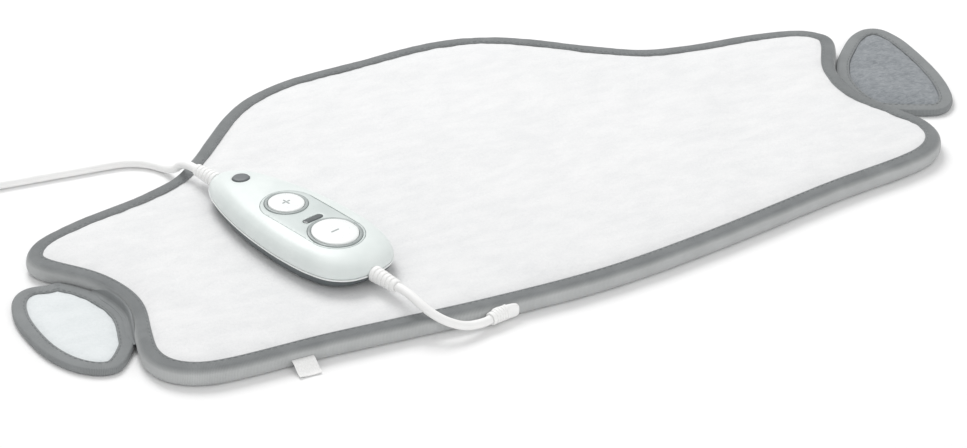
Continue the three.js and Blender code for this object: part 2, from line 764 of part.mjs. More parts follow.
// Strain relief, revolved about the cord: inner flange, neck in the wall, then a ribbed taper
function buildRelief(direction) {
  const shoulder = handsetLength / 2 + seatGap;
  const tip = shoulder + reliefLength;
  const flangeInner = reliefFlangeOuter - reliefFlangeThickness;
  const ribPitch = reliefLength / (reliefRibs + 1);
  const slope = (reliefTipRadius - reliefBaseRadius) / reliefLength;
  const taper = (along) => reliefBaseRadius + slope * (along - shoulder);
  const profile = [
    [0, flangeInner], [reliefFlangeRadius, flangeInner], [reliefFlangeRadius, reliefFlangeOuter],
    [reliefNeckRadius, reliefFlangeOuter], [reliefNeckRadius, shoulder], [reliefBaseRadius, shoulder],
  ];
  for (let k = 1; k <= reliefRibs; k += 1) {
    const middle = shoulder + ribPitch * k;
    const edge = ribPitch / 4;
    profile.push([taper(middle - edge), middle - edge]);
    profile.push([taper(middle) - reliefRibDepth, middle]);
    profile.push([taper(middle + edge), middle + edge]);
  }
  profile.push([reliefTipRadius, tip], [0, tip]);
  const points = profile.map(([radius, along]) => new THREE.Vector2(radius, along));
  const geometry = new THREE.LatheGeometry(points, smallSides);
  geometry.rotateZ(-Math.PI / 2);
  if (direction < 0) geometry.rotateZ(Math.PI);
  geometry.translate(0, 0, partingHeight);
  return geometry;
}

// Parts on the board: a switching device, a film capacitor and a fuse below it, and a chip and a
// lamp above it
function boardParts() {
  const below = boardBottom - seatGap;
  const onTop = ({ length, width, height, x }) => {
    return slab(length, width, switchBottom, switchBottom + height, x);
  };
  const hung = ({ length, width, height, x, y }) => slab(length, width, below - height, below, x, y);
  const fuseHeight = below - fuseSize.radius;
  const fuse = barAlongX(fuseSize.radius, fuseSize.x, fuseSize.x + fuseSize.length, fuseHeight);
  return [
    piece('power_switching_device', geometryOf(hung(switchingDevice)), finish(blackPlastic)),
    piece('film_capacitor', geometryOf(hung(capacitor)), finish(ringGrey)),
    piece('fuse', geometryOf(fuse.translate([0, fuseSize.y, 0])), finish(steel, 0.3)),
    piece('control_chip', geometryOf(onTop(chip)), finish(blackPlastic)),
    piece('status_lamp', geometryOf(onTop(lamp)), finish(bandWhite, 0.3)),
  ];
}

function buildHandset() {
  const group = new THREE.Group();
  group.position.set(handsetX, handsetY, padCentreHeight + seatGap);
  group.rotation.z = THREE.MathUtils.degToRad(handsetHeadingDegrees);
  const shell = finish(shellWhite, 0.4);
  const rings = finish(ringGrey, 0.4);
  const key = finish(bandWhite, 0.4);
  group.add(
    piece('handset_lower_shell', buildLowerShell(), finish(baseGrey, 0.5)),
    piece('handset_upper_shell', buildUpperShell(), shell),
    piece('control_panel', geometryOf(buildPanel()), finish(panelGrey, 0.4)),
    piece('status_lens', buildLens(), finish(darkGrey, 0.2)),
    piece('warmer_button_ring', buildRing(warmer), rings),
    piece('cooler_button_ring', buildRing(cooler), rings),
    piece('power_button', buildCap(powerKey, false), finish(darkGrey, 0.5)),
    piece('warmer_button', buildCap(warmer, true), key),
    piece('cooler_button', buildCap(cooler, true), key),
    piece('circuit_board', buildBoard(), finish(boardGreen, 0.5)),
    piece('far_strain_relief', buildRelief(-1), finish(cordWhite, 0.5)),
    piece('near_strain_relief', buildRelief(1), finish(cordWhite, 0.5)),
    ...boardParts(),
  );
  for (const half of bandHalves()) {
    const { min, max } = half.boundingBox();
    const name = min[1] + max[1] > 0 ? 'parting_band_right' : 'parting_band_left';
    group.add(piece(name, geometryOf(half), finish(bandWhite, 0.4)));
  }
  for (const [name, x] of [['power', powerX], ['warmer', warmer.x], ['cooler', cooler.x]]) {
    group.add(piece(`${name}_switch`, buildSwitch(x), finish(blackPlastic)));
    group.add(piece(`${name}_plunger`, buildPlunger(x), finish(bandWhite)));
  }
  bossPlaces.forEach((place, k) => {
    group.add(piece(`housing_screw_${k + 1}`, buildScrew(place), finish(steel, 0.3, 0.8)));
  });
  return group;
}

// Pad lead: from the handset's near end, over the near edge and into the gland
const padLeadRoute = [
  [-126.4, -125.1, 22.9], [-125.2, -130.6, 22.9], [-124.1, -136, 22.3], [-122.9, -141.5, 20.9],
  [-121, -146.7, 18.7], [-118, -151.4, 16], [-114.2, -155.5, 13.3], [-109.7, -158.7, 10.9],
  [-104.6, -161, 8.8], [-99.2, -162.1, 7.3], [-93.6, -162.2, 6.5], [-87.7, -161.7, 6],
  [-83.8, -160.7, 6],
];

// Mains lead: from the handset's far end, over the far edge and along the table to the coil
const mainsLeadRoute = [
  [-166.2, 61.9, 22.9], [-167.4, 69.3, 22.2], [-167.9, 76.8, 19.8], [-167.7, 84.3, 15.4],
  [-166.9, 91.7, 9.7], [-167.2, 99.2, 5.4], [-169.1, 106.4, 3.2], [-172.6, 113.1, 2.8],
  [-177.5, 118.7, 2.8], [-183.6, 123.1, 2.8], [-190.5, 126, 2.8], [-197.8, 127.5, 2.8],
  [-205.2, 128.8, 2.8], [-220, 131.2, 2.8], [-233.8, 133.6, 2.8], [-247.6, 135.9, 2.8],
  [-261.4, 138.2, 2.8], [-275.2, 140.6, 3.2], [-287, 142.3, 3.6], [-296.2, 143.1, 3.65],
  [-300.2, 143.1, 3.65],
];

// Coil: spirals in on the table, climbs a layer in half a turn, and spirals out again on top
const coilInnerRadius = coilMiddleRadius - coilPitch * coilTurnsPerLayer / 2;
const coilOuterRadius = coilMiddleRadius + coilPitch * coilTurnsPerLayer / 2;
const coilBottomHeight = tieThickness + seatGap + cordDiameter / 2;
function coilPoints() {
  const layerSteps = Math.round(coilTurnsPerLayer * coilSteps);
  const climbSteps = coilSteps / 2;
  const steps = 2 * layerSteps + climbSteps;
  const points = [];
  for (let k = 0; k <= steps; k += 1) {
    const angle = -Math.PI / 2 - k / coilSteps * Math.PI * 2;
    const climb = THREE.MathUtils.clamp((k - layerSteps) / climbSteps, 0, 1);
    const wound = k < layerSteps ? k : Math.max(steps - k, k > layerSteps + climbSteps ? 0 : layerSteps);
    const radius = coilOuterRadius - coilPitch * Math.min(wound, layerSteps) / coilSteps
      - coilClimbBulge * Math.sin(Math.PI * climb);
    const z = coilBottomHeight + coilLayerRise * (1 - Math.cos(Math.PI * climb)) / 2;
    points.push(new THREE.Vector3(coilX + radius * Math.cos(angle), coilY + radius * Math.sin(angle), z));
  }
  const leadIn = points[0].clone().add(new THREE.Vector3(cordDiameter, 0, 0));
  const last = points.at(-1);
  const endAngle = -Math.PI / 2 - steps / coilSteps * Math.PI * 2;
  const along = new THREE.Vector3(Math.sin(endAngle), -Math.cos(endAngle), 0);
  const leadOut = last.clone().addScaledVector(along, cordDiameter);
  return { points: [leadIn, ...points, leadOut], along };
}

// Least distance between turns that aren't neighbours along the cord, less the cord's diameter
function leastGap(points) {
  let least = Infinity;
  const segment = new THREE.Line3();
  const nearest = new THREE.Vector3();
  points.forEach((point, k) => {
    for (let j = k + coilSteps / 2; j < points.length - 1; j += 1) {
      segment.set(points[j], points[j + 1]);
      segment.closestPointToPoint(point, true, nearest);
      least = Math.min(least, nearest.distanceTo(point));
    }
  });
  return least - cordDiameter;
}

function buildTie() {
  const low = coilBottomHeight - cordDiameter / 2 - seatGap;
  const high = coilBottomHeight + coilLayerRise + cordDiameter / 2 + seatGap;
  const inner = coilInnerRadius - cordDiameter / 2 - seatGap;
  const outer = coilOuterRadius + cordDiameter / 2 + seatGap;
  const box = (margin) => [
    [inner - margin, low - margin], [outer + margin, low - margin],
    [outer + margin, high + margin], [inner - margin, high + margin],
  ].map(([x, y]) => new THREE.Vector2(x, y));
  const shape = new THREE.Shape(box(tieThickness));
  shape.holes.push(new THREE.Path(box(0)));
  const geometry = new THREE.ExtrudeGeometry(shape, { depth: tieWidth, bevelEnabled: false });
  geometry.translate(0, 0, -tieWidth / 2);
  geometry.rotateX(Math.PI / 2);
  const group = new THREE.Group();
  group.position.set(coilX, coilY, 0);
  group.rotation.z = THREE.MathUtils.degToRad(tieAngleDegrees);
  group.add(piece('coil_tie', geometry, finish(cordWhite, 0.6)));
  return group;
}

// Plug: a flat body that narrows to the cord, with a ribbed relief and two round pins
const plugShares = [[0, 0.36], [0.16, 0.5], [0.72, 0.5], [1, 0.26]];
function buildPlug() {
  const half = plugShares.map(([along, width]) => [along * plugLength, width * plugWidth - plugBevel]);
  const shape = new THREE.Shape([
    ...half.map(([x, y]) => new THREE.Vector2(x, -y)),
    ...half.reverse().map(([x, y]) => new THREE.Vector2(x, y)),
  ]);
  const settings = {
    depth: plugThickness - 2 * plugBevel,
    bevelSize: plugBevel,
    bevelThickness: plugBevel,
    bevelSegments: 2,
  };
  const body = new THREE.ExtrudeGeometry(shape, settings);
  body.translate(0, 0, plugBevel);
  const reliefEnd = plugLength + plugReliefLength;
  const taper = new THREE.CylinderGeometry(reliefTipRadius, reliefBaseRadius, plugReliefLength, smallSides);
  taper.rotateZ(-Math.PI / 2);
  taper.translate(reliefEnd - plugReliefLength / 2, 0, plugThickness / 2);
  return geometryOf(solidOf(body).add(solidOf(taper)));
}

function buildPin() {
  const tipRadius = pinRadius / 2;
  const points = [
    [0, 0], [tipRadius, 0], [pinRadius, tipRadius], [pinRadius, pinLength], [0, pinLength],
  ].map(([radius, along]) => new THREE.Vector2(radius, along));
  const geometry = new THREE.LatheGeometry(points, smallSides);
  geometry.rotateZ(-Math.PI / 2);
  return geometry;
}

// The plug lies beside the coil, its pins pointing to the near side
const plugX = -374;
const plugY = 20;
const plugHeadingDegrees = 90;
const mainsTailRoute = [
  [-311.8, 143.1, 9.65], [-316, 143.1, 9.6], [-322, 143, 9.1], [-329, 142.2, 7.6], [-336, 140.6, 5.7],
  [-343, 137.7, 4], [-350, 133.5, 3], [-356.8, 127.9, 2.8], [-363, 120.9, 2.8], [-368.2, 112.6, 3.1],
  [-371.8, 103.3, 4], [-373.6, 93.6, 5.4], [-374, 85.5, 6.4], [-374, 80.5, 6.8], [-374, 76.3, 6.85],
];

function buildCords() {
  const group = new THREE.Group();
  const rubber = finish(cordWhite, 0.5);
  const tube = (route) => {
    const points = route.map((place) => new THREE.Vector3(...place));
    return tubeAlong(points, cordDiameter / 2, cordSides);
  };
  const coil = coilPoints();
  console.log(`least gap between the coil's turns: ${leastGap(coil.points).toFixed(2)} mm`);
  const plug = new THREE.Group();
  plug.position.set(plugX, plugY, 0);
  plug.rotation.z = THREE.MathUtils.degToRad(plugHeadingDegrees);
  plug.add(piece('plug_body', buildPlug(), rubber));
  for (const [k, side] of [-1, 1].entries()) {
    const pin = piece(`plug_pin_${k + 1}`, buildPin(), finish(steel, 0.3, 0.9));
    pin.position.set(-pinLength - seatGap - plugBevel, side * pinSpacing / 2, plugThickness / 2);
    plug.add(pin);
  }
  group.add(
    piece('pad_lead', tube(padLeadRoute), rubber),
    piece('mains_lead', tube(mainsLeadRoute), rubber),
    piece('mains_lead_coil', tubeAlong(coil.points, cordDiameter / 2, coilSides), rubber),
    piece('mains_lead_tail', tube(mainsTailRoute), rubber),
    buildTie(),
    plug,
  );
  return group;
}

const heatingPad = new THREE.Group();
heatingPad.add(
  buildPad(),
  buildTab(leftTab, leftTabShares, leftRootShares, 'left', finish(fleeceWhite, 0.95)),
  buildTab(rightTab, rightTabShares, rightRootShares, 'right', finish(feltGrey, 1)),
  buildLabel(),
  buildGland(),
  buildHandset(),
  buildCords(),
);

export default heatingPad;
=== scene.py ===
import math

import bmesh
import bpy
import numpy as np
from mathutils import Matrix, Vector, noise
from mathutils.geometry import delaunay_2d_cdt


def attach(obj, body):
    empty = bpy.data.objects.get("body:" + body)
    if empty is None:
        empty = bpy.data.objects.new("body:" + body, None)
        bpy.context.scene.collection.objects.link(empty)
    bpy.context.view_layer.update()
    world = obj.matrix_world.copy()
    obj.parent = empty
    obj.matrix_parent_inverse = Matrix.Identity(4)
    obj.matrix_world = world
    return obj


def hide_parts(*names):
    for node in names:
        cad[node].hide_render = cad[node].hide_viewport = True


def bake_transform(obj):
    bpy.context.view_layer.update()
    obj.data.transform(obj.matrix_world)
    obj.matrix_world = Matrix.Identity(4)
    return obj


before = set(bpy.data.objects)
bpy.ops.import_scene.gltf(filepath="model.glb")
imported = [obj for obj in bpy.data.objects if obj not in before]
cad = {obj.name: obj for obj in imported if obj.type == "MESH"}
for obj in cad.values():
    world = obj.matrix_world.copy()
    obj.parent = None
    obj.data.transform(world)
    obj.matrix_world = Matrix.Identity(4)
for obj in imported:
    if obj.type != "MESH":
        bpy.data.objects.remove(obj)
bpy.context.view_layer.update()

PAD = "pad_and_handset"
MM = 0.001


# Camera
def in_scene(name, data):
    made = bpy.data.objects.new(name, data)
    bpy.context.scene.collection.objects.link(made)
    return made


def aimed(name, data, place, target):
    """Puts a camera or a lamp at a place, looking at a target."""
    made = in_scene(name, data)
    made.location = place
    made.rotation_euler = (Vector(target) - Vector(place)).to_track_quat("-Z", "Y").to_euler()
    return made


camera = aimed("camera", bpy.data.cameras.new("camera"), (-0.961543, -1.659587, 1.080958),
               (-0.025591, -0.052905, 0.0))
camera.data.lens = 128.804
camera.data.sensor_width = 36
camera.data.clip_start = 0.05
camera.data.clip_end = 60
bpy.context.scene.camera = camera
bpy.context.scene.view_settings.view_transform = "Standard"


# Curves and loops
def catmull(points, closed, per_span):
    """Centripetal Catmull-Rom curve through points, with per_span samples to each span."""
    p = np.asarray(points, float)
    n = len(p)
    t = np.arange(per_span)[:, None] / per_span
    out = []
    for i in range(n if closed else n - 1):
        b, c = p[i], p[(i + 1) % n]
        a = p[i - 1] if closed or i else 2 * b - c
        d = p[(i + 2) % n] if closed or i + 2 < n else 2 * c - b
        da, db, dc = (max(np.linalg.norm(q) ** 0.5, 1e-6) for q in (b - a, c - b, d - c))
        ta = ((b - a) / da - (c - a) / (da + db) + (c - b) / db) * db
        tb = ((c - b) / db - (d - b) / (db + dc) + (d - c) / dc) * db
        out.append(b + ta * t + (-3 * b + 3 * c - 2 * ta - tb) * t ** 2 + (2 * b - 2 * c + ta + tb) * t ** 3)
    out = np.concatenate(out)
    return out if closed else np.vstack([out, p[-1]])


def lengths(loop):
    """Length round the loop from its first point to each point, and back to the first."""
    return np.r_[0, np.cumsum(np.linalg.norm(np.roll(loop, -1, 0) - loop, axis=1))]


def resample(loop, count):
    """Points at even steps round a loop."""
    run = lengths(loop)
    at = np.linspace(0, run[-1], count + 1)[:-1]
    return np.stack([np.interp(at, run, np.r_[line, line[0]]) for line in loop.T], 1)


def outward(loop):
    """Unit normals of a loop that runs anticlockwise."""
    step = np.roll(loop, -1, 0) - np.roll(loop, 1, 0)
    normal = np.stack([step[:, 1], -step[:, 0]], 1)
    return normal / np.linalg.norm(normal, axis=1)[:, None]


def stretch(loop, keep, order):
    """The kept points of a loop and their normals, in rising order."""
    index = np.flatnonzero(keep)
    index = index[np.argsort(order[index])]
    return loop[index], outward(loop)[index]


def soften(loop, weight=0.3, times=1):
    """The loop with its points drawn towards their neighbours."""
    for _ in range(times):
        loop = loop * (1 - weight) + (np.roll(loop, 1, 0) + np.roll(loop, -1, 0)) * weight / 2
    return loop


def inset_loops(loop, depths, step=0.4):
    """The loop moved in by each depth, in small steps, so that its corners stay clean."""
    current, done, out = loop.copy(), 0.0, []
    for depth in depths:
        while done < depth - 1e-9:
            move = min(step, depth - done)
            current = soften(current - outward(current) * move)
            done += move
        out.append(current.copy())
    return out


def inside(points, loop):
    """Whether each point is inside the loop."""
    x, y = points.T[:, :, None]
    a, b = loop, np.roll(loop, -1, 0)
    crosses = (a[:, 1] > y) != (b[:, 1] > y)
    with np.errstate(divide="ignore", invalid="ignore"):
        at = a[:, 0] + (y - a[:, 1]) * (b[:, 0] - a[:, 0]) / (b[:, 1] - a[:, 1])
    return (crosses & (x < at)).sum(1) % 2 == 1


def nearest(points, loop):
    """Distance of each point to the loop, and the index of the loop's nearest point."""
    out, at = [], []
    for part in np.array_split(points, max(1, len(points) // 2000)):
        gap = np.linalg.norm(part[:, None] - loop[None], axis=2)
        at.append(gap.argmin(1))
        out.append(gap.min(1))
    return np.concatenate(out), np.concatenate(at)


def circle(count):
    return np.arange(count) / count * 2 * math.pi


def oval(x, half_length, half_width, margin=0.0):
    t = circle(72)
    return np.stack([x + (half_length + margin) * np.cos(t), (half_width + margin) * np.sin(t)], 1)


def superellipse(count, half_width, half_height, power):
    """Across and up of the points of a rounded rectangle."""
    c, s = np.cos(circle(count)), np.sin(circle(count))
    return np.sign(c) * np.abs(c) ** power * half_width, np.sign(s) * np.abs(s) ** power * half_height


def obround(x, y, length, width, margin=0.0, count=36, upright=False):
    r = width / 2 + margin
    reach = length / 2 - width / 2
    t = np.arange(count + 1) / count * math.pi - math.pi / 2
    right = np.stack([reach + r * np.cos(t), r * np.sin(t)], 1)
    p = np.vstack([right, -right])
    if upright:
        p = np.stack([-p[:, 1], p[:, 0]], 1)
    return p + [x, y]


def wobble(x, y, z=0.0):
    """Smooth noise at each place."""
    x, y = np.broadcast_arrays(x, y)
    return np.array([noise.noise(Vector((a, b, z))) for a, b in zip(x, y)])


# Meshes
def add_piece(name, vertices, faces, uvs=None, body=PAD, smooth_angle=40):
    """A mesh object from millimetres, smooth except at edges sharper than the angle."""
    mesh = bpy.data.meshes.new(name)
    mesh.from_pydata((np.asarray(vertices, float) * MM).tolist(), [], [list(map(int, f)) for f in faces])
    if uvs is not None:
        layer = mesh.uv_layers.new(name="tape")
        layer.data.foreach_set("uv", (np.asarray(uvs, float).reshape(-1, 2) * MM).ravel())
    bm = bmesh.new()
    bm.from_mesh(mesh)
    bmesh.ops.recalc_face_normals(bm, faces=bm.faces)
    bm.to_mesh(mesh)
    bm.free()
    finish_mesh(mesh, smooth_angle)
    piece = in_scene(name, mesh)
    if body:
        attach(piece, body)
    return piece


def finish_mesh(mesh, smooth_angle):
    mesh.polygons.foreach_set("use_smooth", [True] * len(mesh.polygons))
    mesh.set_sharp_from_angle(angle=math.radians(smooth_angle))
    mesh.update()


def grid_cells(rows, columns, wrap_rows, wrap_columns):
    """The four corners (row, column) of each cell; where a side wraps, the last ones lie past its end."""
    return [((i, j), (i, j + 1), (i + 1, j + 1), (i + 1, j))
            for i in range(rows - (not wrap_rows)) for j in range(columns - (not wrap_columns))]


def grid_faces(rows, columns, *wraps):
    return [tuple(i % rows * columns + j % columns for i, j in cell)
            for cell in grid_cells(rows, columns, *wraps)]


def capped(rows, columns):
    """Faces of a tube of rings, with a face over each end."""
    last = (rows - 1) * columns
    ends = [tuple(range(columns))[::-1], tuple(range(last, last + columns))]
    return grid_faces(rows, columns, False, True) + ends


def bar_ends(rows, columns):
    """The two end faces of a bar whose section runs down the rows."""
    first = tuple(r * columns for r in range(rows))
    return [first, tuple(k + columns - 1 for k in first)[::-1]]


def sweep(grid, *wraps):
    """Vertices, faces and UVs, in millimetres along and across, of a grid of points."""
    along, across = lengths(grid.mean(0)), lengths(grid[:, 0])
    uvs = [(along[j], across[i]) for cell in grid_cells(*grid.shape[:2], *wraps) for i, j in cell]
    return grid.reshape(-1, 3), grid_faces(*grid.shape[:2], *wraps), uvs


def wrapped(loop, profile):
    """Closed skin: rings of (share, inset, z) on the loop; a share of 0 is a point in the middle."""
    normal, n = outward(loop), len(loop)
    vertices, rings = [], []
    for share, inset, z in profile:
        rings.append([len(vertices) + (j if share else 0) for j in range(n)])
        vertices += [(x, y, z) for x, y in loop * share - normal * inset] if share else [(0, 0, z)]
    faces = []
    for a, b in zip(rings, rings[1:]):
        for j in range(n):
            k = (j + 1) % n
            faces.append(tuple(dict.fromkeys((a[j], a[k], b[k], b[j]))))
    return vertices, faces


def fill(outline, holes, rings, spacing, uneven=0.0):
    """Flat triangles inside the outline and outside the holes. rings are more lines of points to keep."""
    def within(points):
        return inside(points, outline) & ~np.any([inside(points, hole) for hole in holes], 0)
    low, high = outline.min(0), outline.max(0)
    xs = np.arange(low[0], high[0], spacing)
    row_step = 0.866 * spacing
    ys = np.arange(low[1], high[1], row_step)
    grid = np.array([(x + (k % 2) * spacing / 2, y) for k, y in enumerate(ys) for x in xs])
    grid += np.random.default_rng(5).uniform(-uneven, uneven, grid.shape) * spacing
    grid = grid[within(grid)]
    gap, _ = nearest(grid, np.vstack([outline, *holes, *rings]))
    clear = 0.6 * spacing
    grid = grid[gap > clear]
    points, edges = [], []
    for loop in (outline, *holes):
        start = len(points)
        points += loop.tolist()
        edges += [(start + k, start + (k + 1) % len(loop)) for k in range(len(loop))]
    for loop in (*rings, grid):
        points += loop.tolist()
    got = delaunay_2d_cdt([Vector(p) for p in points], edges, [], 0, 1e-5, False)
    flat = np.array([tuple(v) for v in got[0]])
    triangles = np.array([tuple(f) for f in got[2]])
    triangles = triangles[within(flat[triangles].mean(1))]
    used = np.unique(triangles)
    renumber = np.full(len(flat), -1)
    renumber[used] = np.arange(len(used))
    return flat[used], renumber[triangles]


def slab_of(flat, triangles, top, bottom):
    """Closed body from flat triangles, between two heights given for each point."""
    n = len(flat)
    vertices = np.vstack([np.c_[flat, top], np.c_[flat, bottom]])
    faces = [tuple(f) for f in triangles] + [tuple(n + k for k in f[::-1]) for f in triangles]
    edges = {(int(f[k]), int(f[(k + 1) % 3])): True for f in triangles for k in range(3)}
    faces += [(b, a, n + a, n + b) for a, b in edges if (b, a) not in edges]
    return vertices, faces


def lathe(profile, sides):
    """Vertices and faces of (radius, along) turned about X, with flat ends."""
    grid = np.array([[(x, r * math.cos(a), r * math.sin(a)) for a in circle(sides)] for r, x in profile])
    return grid.reshape(-1, 3), capped(len(profile), sides)


def grooves(start, length, base, tip, steps, corners):
    """Five grooves along a tapering boot, each from its corners' (radius, along)."""
    out = []
    for k in range(1, 6):
        at = start + length * k / steps
        radius = base + (tip - base) * (at - start) / length
        out += [(radius + r, at + a) for r, a in corners]
    return out


def joined(*parts):
    vertices, faces = [], []
    for v, f in parts:
        faces += [tuple(len(vertices) + k for k in face) for face in f]
        vertices += [tuple(p) for p in v]
    return vertices, faces


def prism(loop, low, high):
    return [(x, y, z) for z in (low, high) for x, y in loop], capped(2, len(loop))


def to_frame(vertices, heading, place):
    """Turned about Z by the heading in degrees, then moved."""
    v = np.asarray(vertices, float)
    c, s = math.cos(math.radians(heading)), math.sin(math.radians(heading))
    turned = np.stack([v[:, 0] * c - v[:, 1] * s, v[:, 0] * s + v[:, 1] * c, v[:, 2]], 1)
    return turned + place


# Materials
class Finish:
    """A procedural material on a Principled shader, in object coordinates in metres or in tape UVs."""

    def __init__(self, name, roughness, **sockets):
        self.material = bpy.data.materials.new(name)
        self.material.use_nodes = True
        self.tree = self.material.node_tree
        self.shader = self.tree.nodes["Principled BSDF"].inputs
        for socket, value in {"Roughness": roughness, **sockets}.items():
            self.shader[socket.replace("_", " ")].default_value = value
        self.coordinates = self.tree.nodes.new("ShaderNodeTexCoord").outputs
        self.relief = {}

    def feed(self, socket, value):
        if isinstance(value, bpy.types.NodeSocket):
            self.tree.links.new(value, socket)
        else:
            socket.default_value = value

    def node(self, kind, inputs, **settings):
        """Makes a node and gives its outputs."""
        made = self.tree.nodes.new(f"ShaderNode{kind}")
        for key, value in settings.items():
            setattr(made, key, value)
        for key, value in inputs.items():
            self.feed(made.inputs[key], value)
        return made.outputs

    def at(self, stretch=(1, 1, 1), turn=0.0, uv=False):
        source = self.coordinates["UV" if uv else "Object"]
        return self.node("Mapping", {"Vector": source, "Scale": stretch, "Rotation": (0, 0, turn)})[0]

    def noise(self, scale, detail, rough=0.55, distortion=0.0, **mapping):
        return self.node("TexNoise", {"Vector": self.at(**mapping), "Scale": scale, "Detail": detail,
                                      "Roughness": rough, "Distortion": distortion})[0]

    def waves(self, scale, direction, distortion, uv=False):
        inputs = {"Vector": self.at(uv=uv), "Scale": scale, "Distortion": distortion}
        return self.node("TexWave", inputs, bands_direction=direction)["Fac"]

    def spread(self, value, low=0.3, high=0.7, out_low=0.0, out_high=1.0):
        return self.node("MapRange", {"Value": value, "From Min": low, "From Max": high,
                                      "To Min": out_low, "To Max": out_high})[0]

    def sum(self, a, b, weight_a, weight_b):
        left = self.node("Math", {0: a, 1: weight_a}, operation="MULTIPLY")[0]
        return self.node("Math", {0: b, 1: weight_b, 2: left}, operation="MULTIPLY_ADD")[0]

    def blend(self, factor, a, b):
        """Mixes two colours, each a socket or sRGB numbers up to 255."""
        a, b = (srgb(*c) if isinstance(c, tuple) else c for c in (a, b))
        return self.node("Mix", {"Factor": factor, 6: a, 7: b}, data_type="RGBA")[2]

    def colour(self, value):
        self.feed(self.shader["Base Color"], value)

    def tone(self, value, dark, light):
        """Colours the surface from dark to light with a noise."""
        self.colour(self.blend(self.spread(value), dark, light))

    def polish(self, value, low, high):
        """Varies the roughness with a noise."""
        self.feed(self.shader["Roughness"], self.spread(value, 0.3, 0.7, low, high))

    def bump(self, height, distance, strength):
        """Adds relief over the relief before it."""
        inputs = {"Height": height, "Distance": distance, "Strength": strength, **self.relief}
        self.relief = {"Normal": self.node("Bump", inputs)[0]}
        self.feed(self.shader["Normal"], self.relief["Normal"])


def srgb(r, g, b):
    """The shader's colour for numbers up to 255."""
    def straight(c):
        c /= 255
        return c / 12.92 if c <= 0.04045 else ((c + 0.055) / 1.055) ** 2.4
    return (straight(r), straight(g), straight(b), 1.0)


def fleece(name, light, dark, sheen=0.35):
    f = Finish(name, 0.95, Sheen_Weight=sheen, Sheen_Roughness=0.45, Specular_IOR_Level=0.25)
    tufts = f.noise(620, 5, rough=0.65, distortion=0.4)
    brushed = f.noise(120, 3, stretch=(0.45, 1, 1), turn=0.4)
    broad = f.noise(14, 2)
    shade = f.sum(f.spread(tufts), f.spread(brushed, 0.35, 0.65), 0.55, 0.45)
    shade = f.sum(shade, f.spread(broad), 0.8, 0.2)
    f.colour(f.blend(shade, dark, light))
    f.bump(f.sum(tufts, brushed, 0.6, 0.4), 0.0007, 0.7)
    f.bump(f.noise(2600, 3), 0.00025, 0.5)
    return f.material


def heather(name, light, dark):
    f = Finish(name, 0.95, Sheen_Weight=0.2, Sheen_Roughness=0.5, Specular_IOR_Level=0.25)
    mottle = f.noise(210, 4, rough=0.7, distortion=0.8)
    fibres = f.noise(900, 4, stretch=(0.25, 1, 1), turn=0.9)
    shade = f.sum(f.spread(mottle, 0.32, 0.68), f.spread(fibres), 0.55, 0.45)
    f.colour(f.blend(shade, dark, light))
    f.bump(f.sum(mottle, fibres, 0.5, 0.5), 0.0007, 0.8)
    f.bump(f.noise(2400, 3), 0.0002, 0.5)
    return f.material


def woven_tape(name, light, dark, lit_side_paint_light=None, lit_side_paint_dark=None):
    """Ribbed tape; with lit-side colours it turns to them below the top of the pad's edge, painted light that
    makes the edge's side paler than its top.
    """
    f = Finish(name, 0.78, Sheen_Weight=0.12, Sheen_Roughness=0.4, Specular_IOR_Level=0.35)
    ribs = f.waves(360, "X", 0.4, uv=True)
    weft = f.waves(700, "Y", 0.3, uv=True)
    worn = f.noise(60, 3, uv=True)
    shade = f.sum(ribs, f.spread(worn), 0.5, 0.5)
    cloth = f.blend(shade, dark, light)
    if lit_side_paint_light:
        # painted light: below the top of the edge the tape turns paler, standing in for light falling on the
        # edge's side
        height = f.node("SeparateXYZ", {"Vector": f.coordinates["Object"]})[2]
        height = f.sum(height, f.noise(45, 2), 1.0, 0.0012)
        cloth = f.blend(f.spread(height, 0.0090, 0.0126), f.blend(shade, lit_side_paint_dark, lit_side_paint_light), cloth)
    f.colour(cloth)
    f.bump(f.sum(ribs, weft, 0.7, 0.3), 0.00028, 0.8)
    f.bump(f.noise(900, 3, uv=True), 0.0001, 0.4)
    return f.material


def satin(name, light, dark):
    f = Finish(name, 0.5, Sheen_Weight=0.1, Specular_IOR_Level=0.4)
    warp = f.noise(1600, 2, stretch=(1, 0.12, 1))
    f.tone(warp, dark, light)
    f.bump(warp, 0.00012, 0.6)
    return f.material


def moulded(name, light, dark, roughness=0.38, grain=0.00004, coat=0.0):
    f = Finish(name, roughness, Coat_Weight=coat, Coat_Roughness=0.2, Specular_IOR_Level=0.5)
    cloud = f.noise(55, 3)
    f.tone(cloud, dark, light)
    f.polish(f.noise(700, 3), roughness - 0.05, roughness + 0.07)
    f.bump(f.noise(5200, 2), grain, 0.5)
    return f.material


def rubber(name, light, dark, roughness=0.55):
    f = Finish(name, roughness, Specular_IOR_Level=0.45)
    cloud = f.noise(38, 4, rough=0.6)
    f.tone(cloud, dark, light)
    f.polish(f.noise(420, 4), roughness - 0.07, roughness + 0.08)
    f.bump(f.noise(3800, 3), 0.00005, 0.6)
    return f.material


def metal(name, light, dark):
    f = Finish(name, 0.28, Metallic=1.0)
    drawn = f.noise(900, 3, stretch=(1, 0.06, 1))
    f.tone(drawn, dark, light)
    f.polish(drawn, 0.21, 0.38)
    f.bump(drawn, 0.00003, 0.4)
    return f.material


def laminate(name, light, dark):
    f = Finish(name, 0.42, Specular_IOR_Level=0.5)
    glass = f.node("TexVoronoi", {"Vector": f.at(), "Scale": 700})["Distance"]
    tracks = f.waves(120, "Y", 2.0)
    f.colour(f.blend(f.sum(glass, f.spread(tracks, 0.6, 0.9), 0.4, 0.6), dark, light))
    f.bump(tracks, 0.00005, 0.5)
    return f.material


def wadding(name, light, dark):
    f = Finish(name, 1.0, Sheen_Weight=0.3, Sheen_Roughness=0.6, Specular_IOR_Level=0.2)
    fibres = f.noise(300, 5, rough=0.7, distortion=2.0)
    f.tone(fibres, dark, light)
    f.bump(fibres, 0.0006, 0.8)
    return f.material


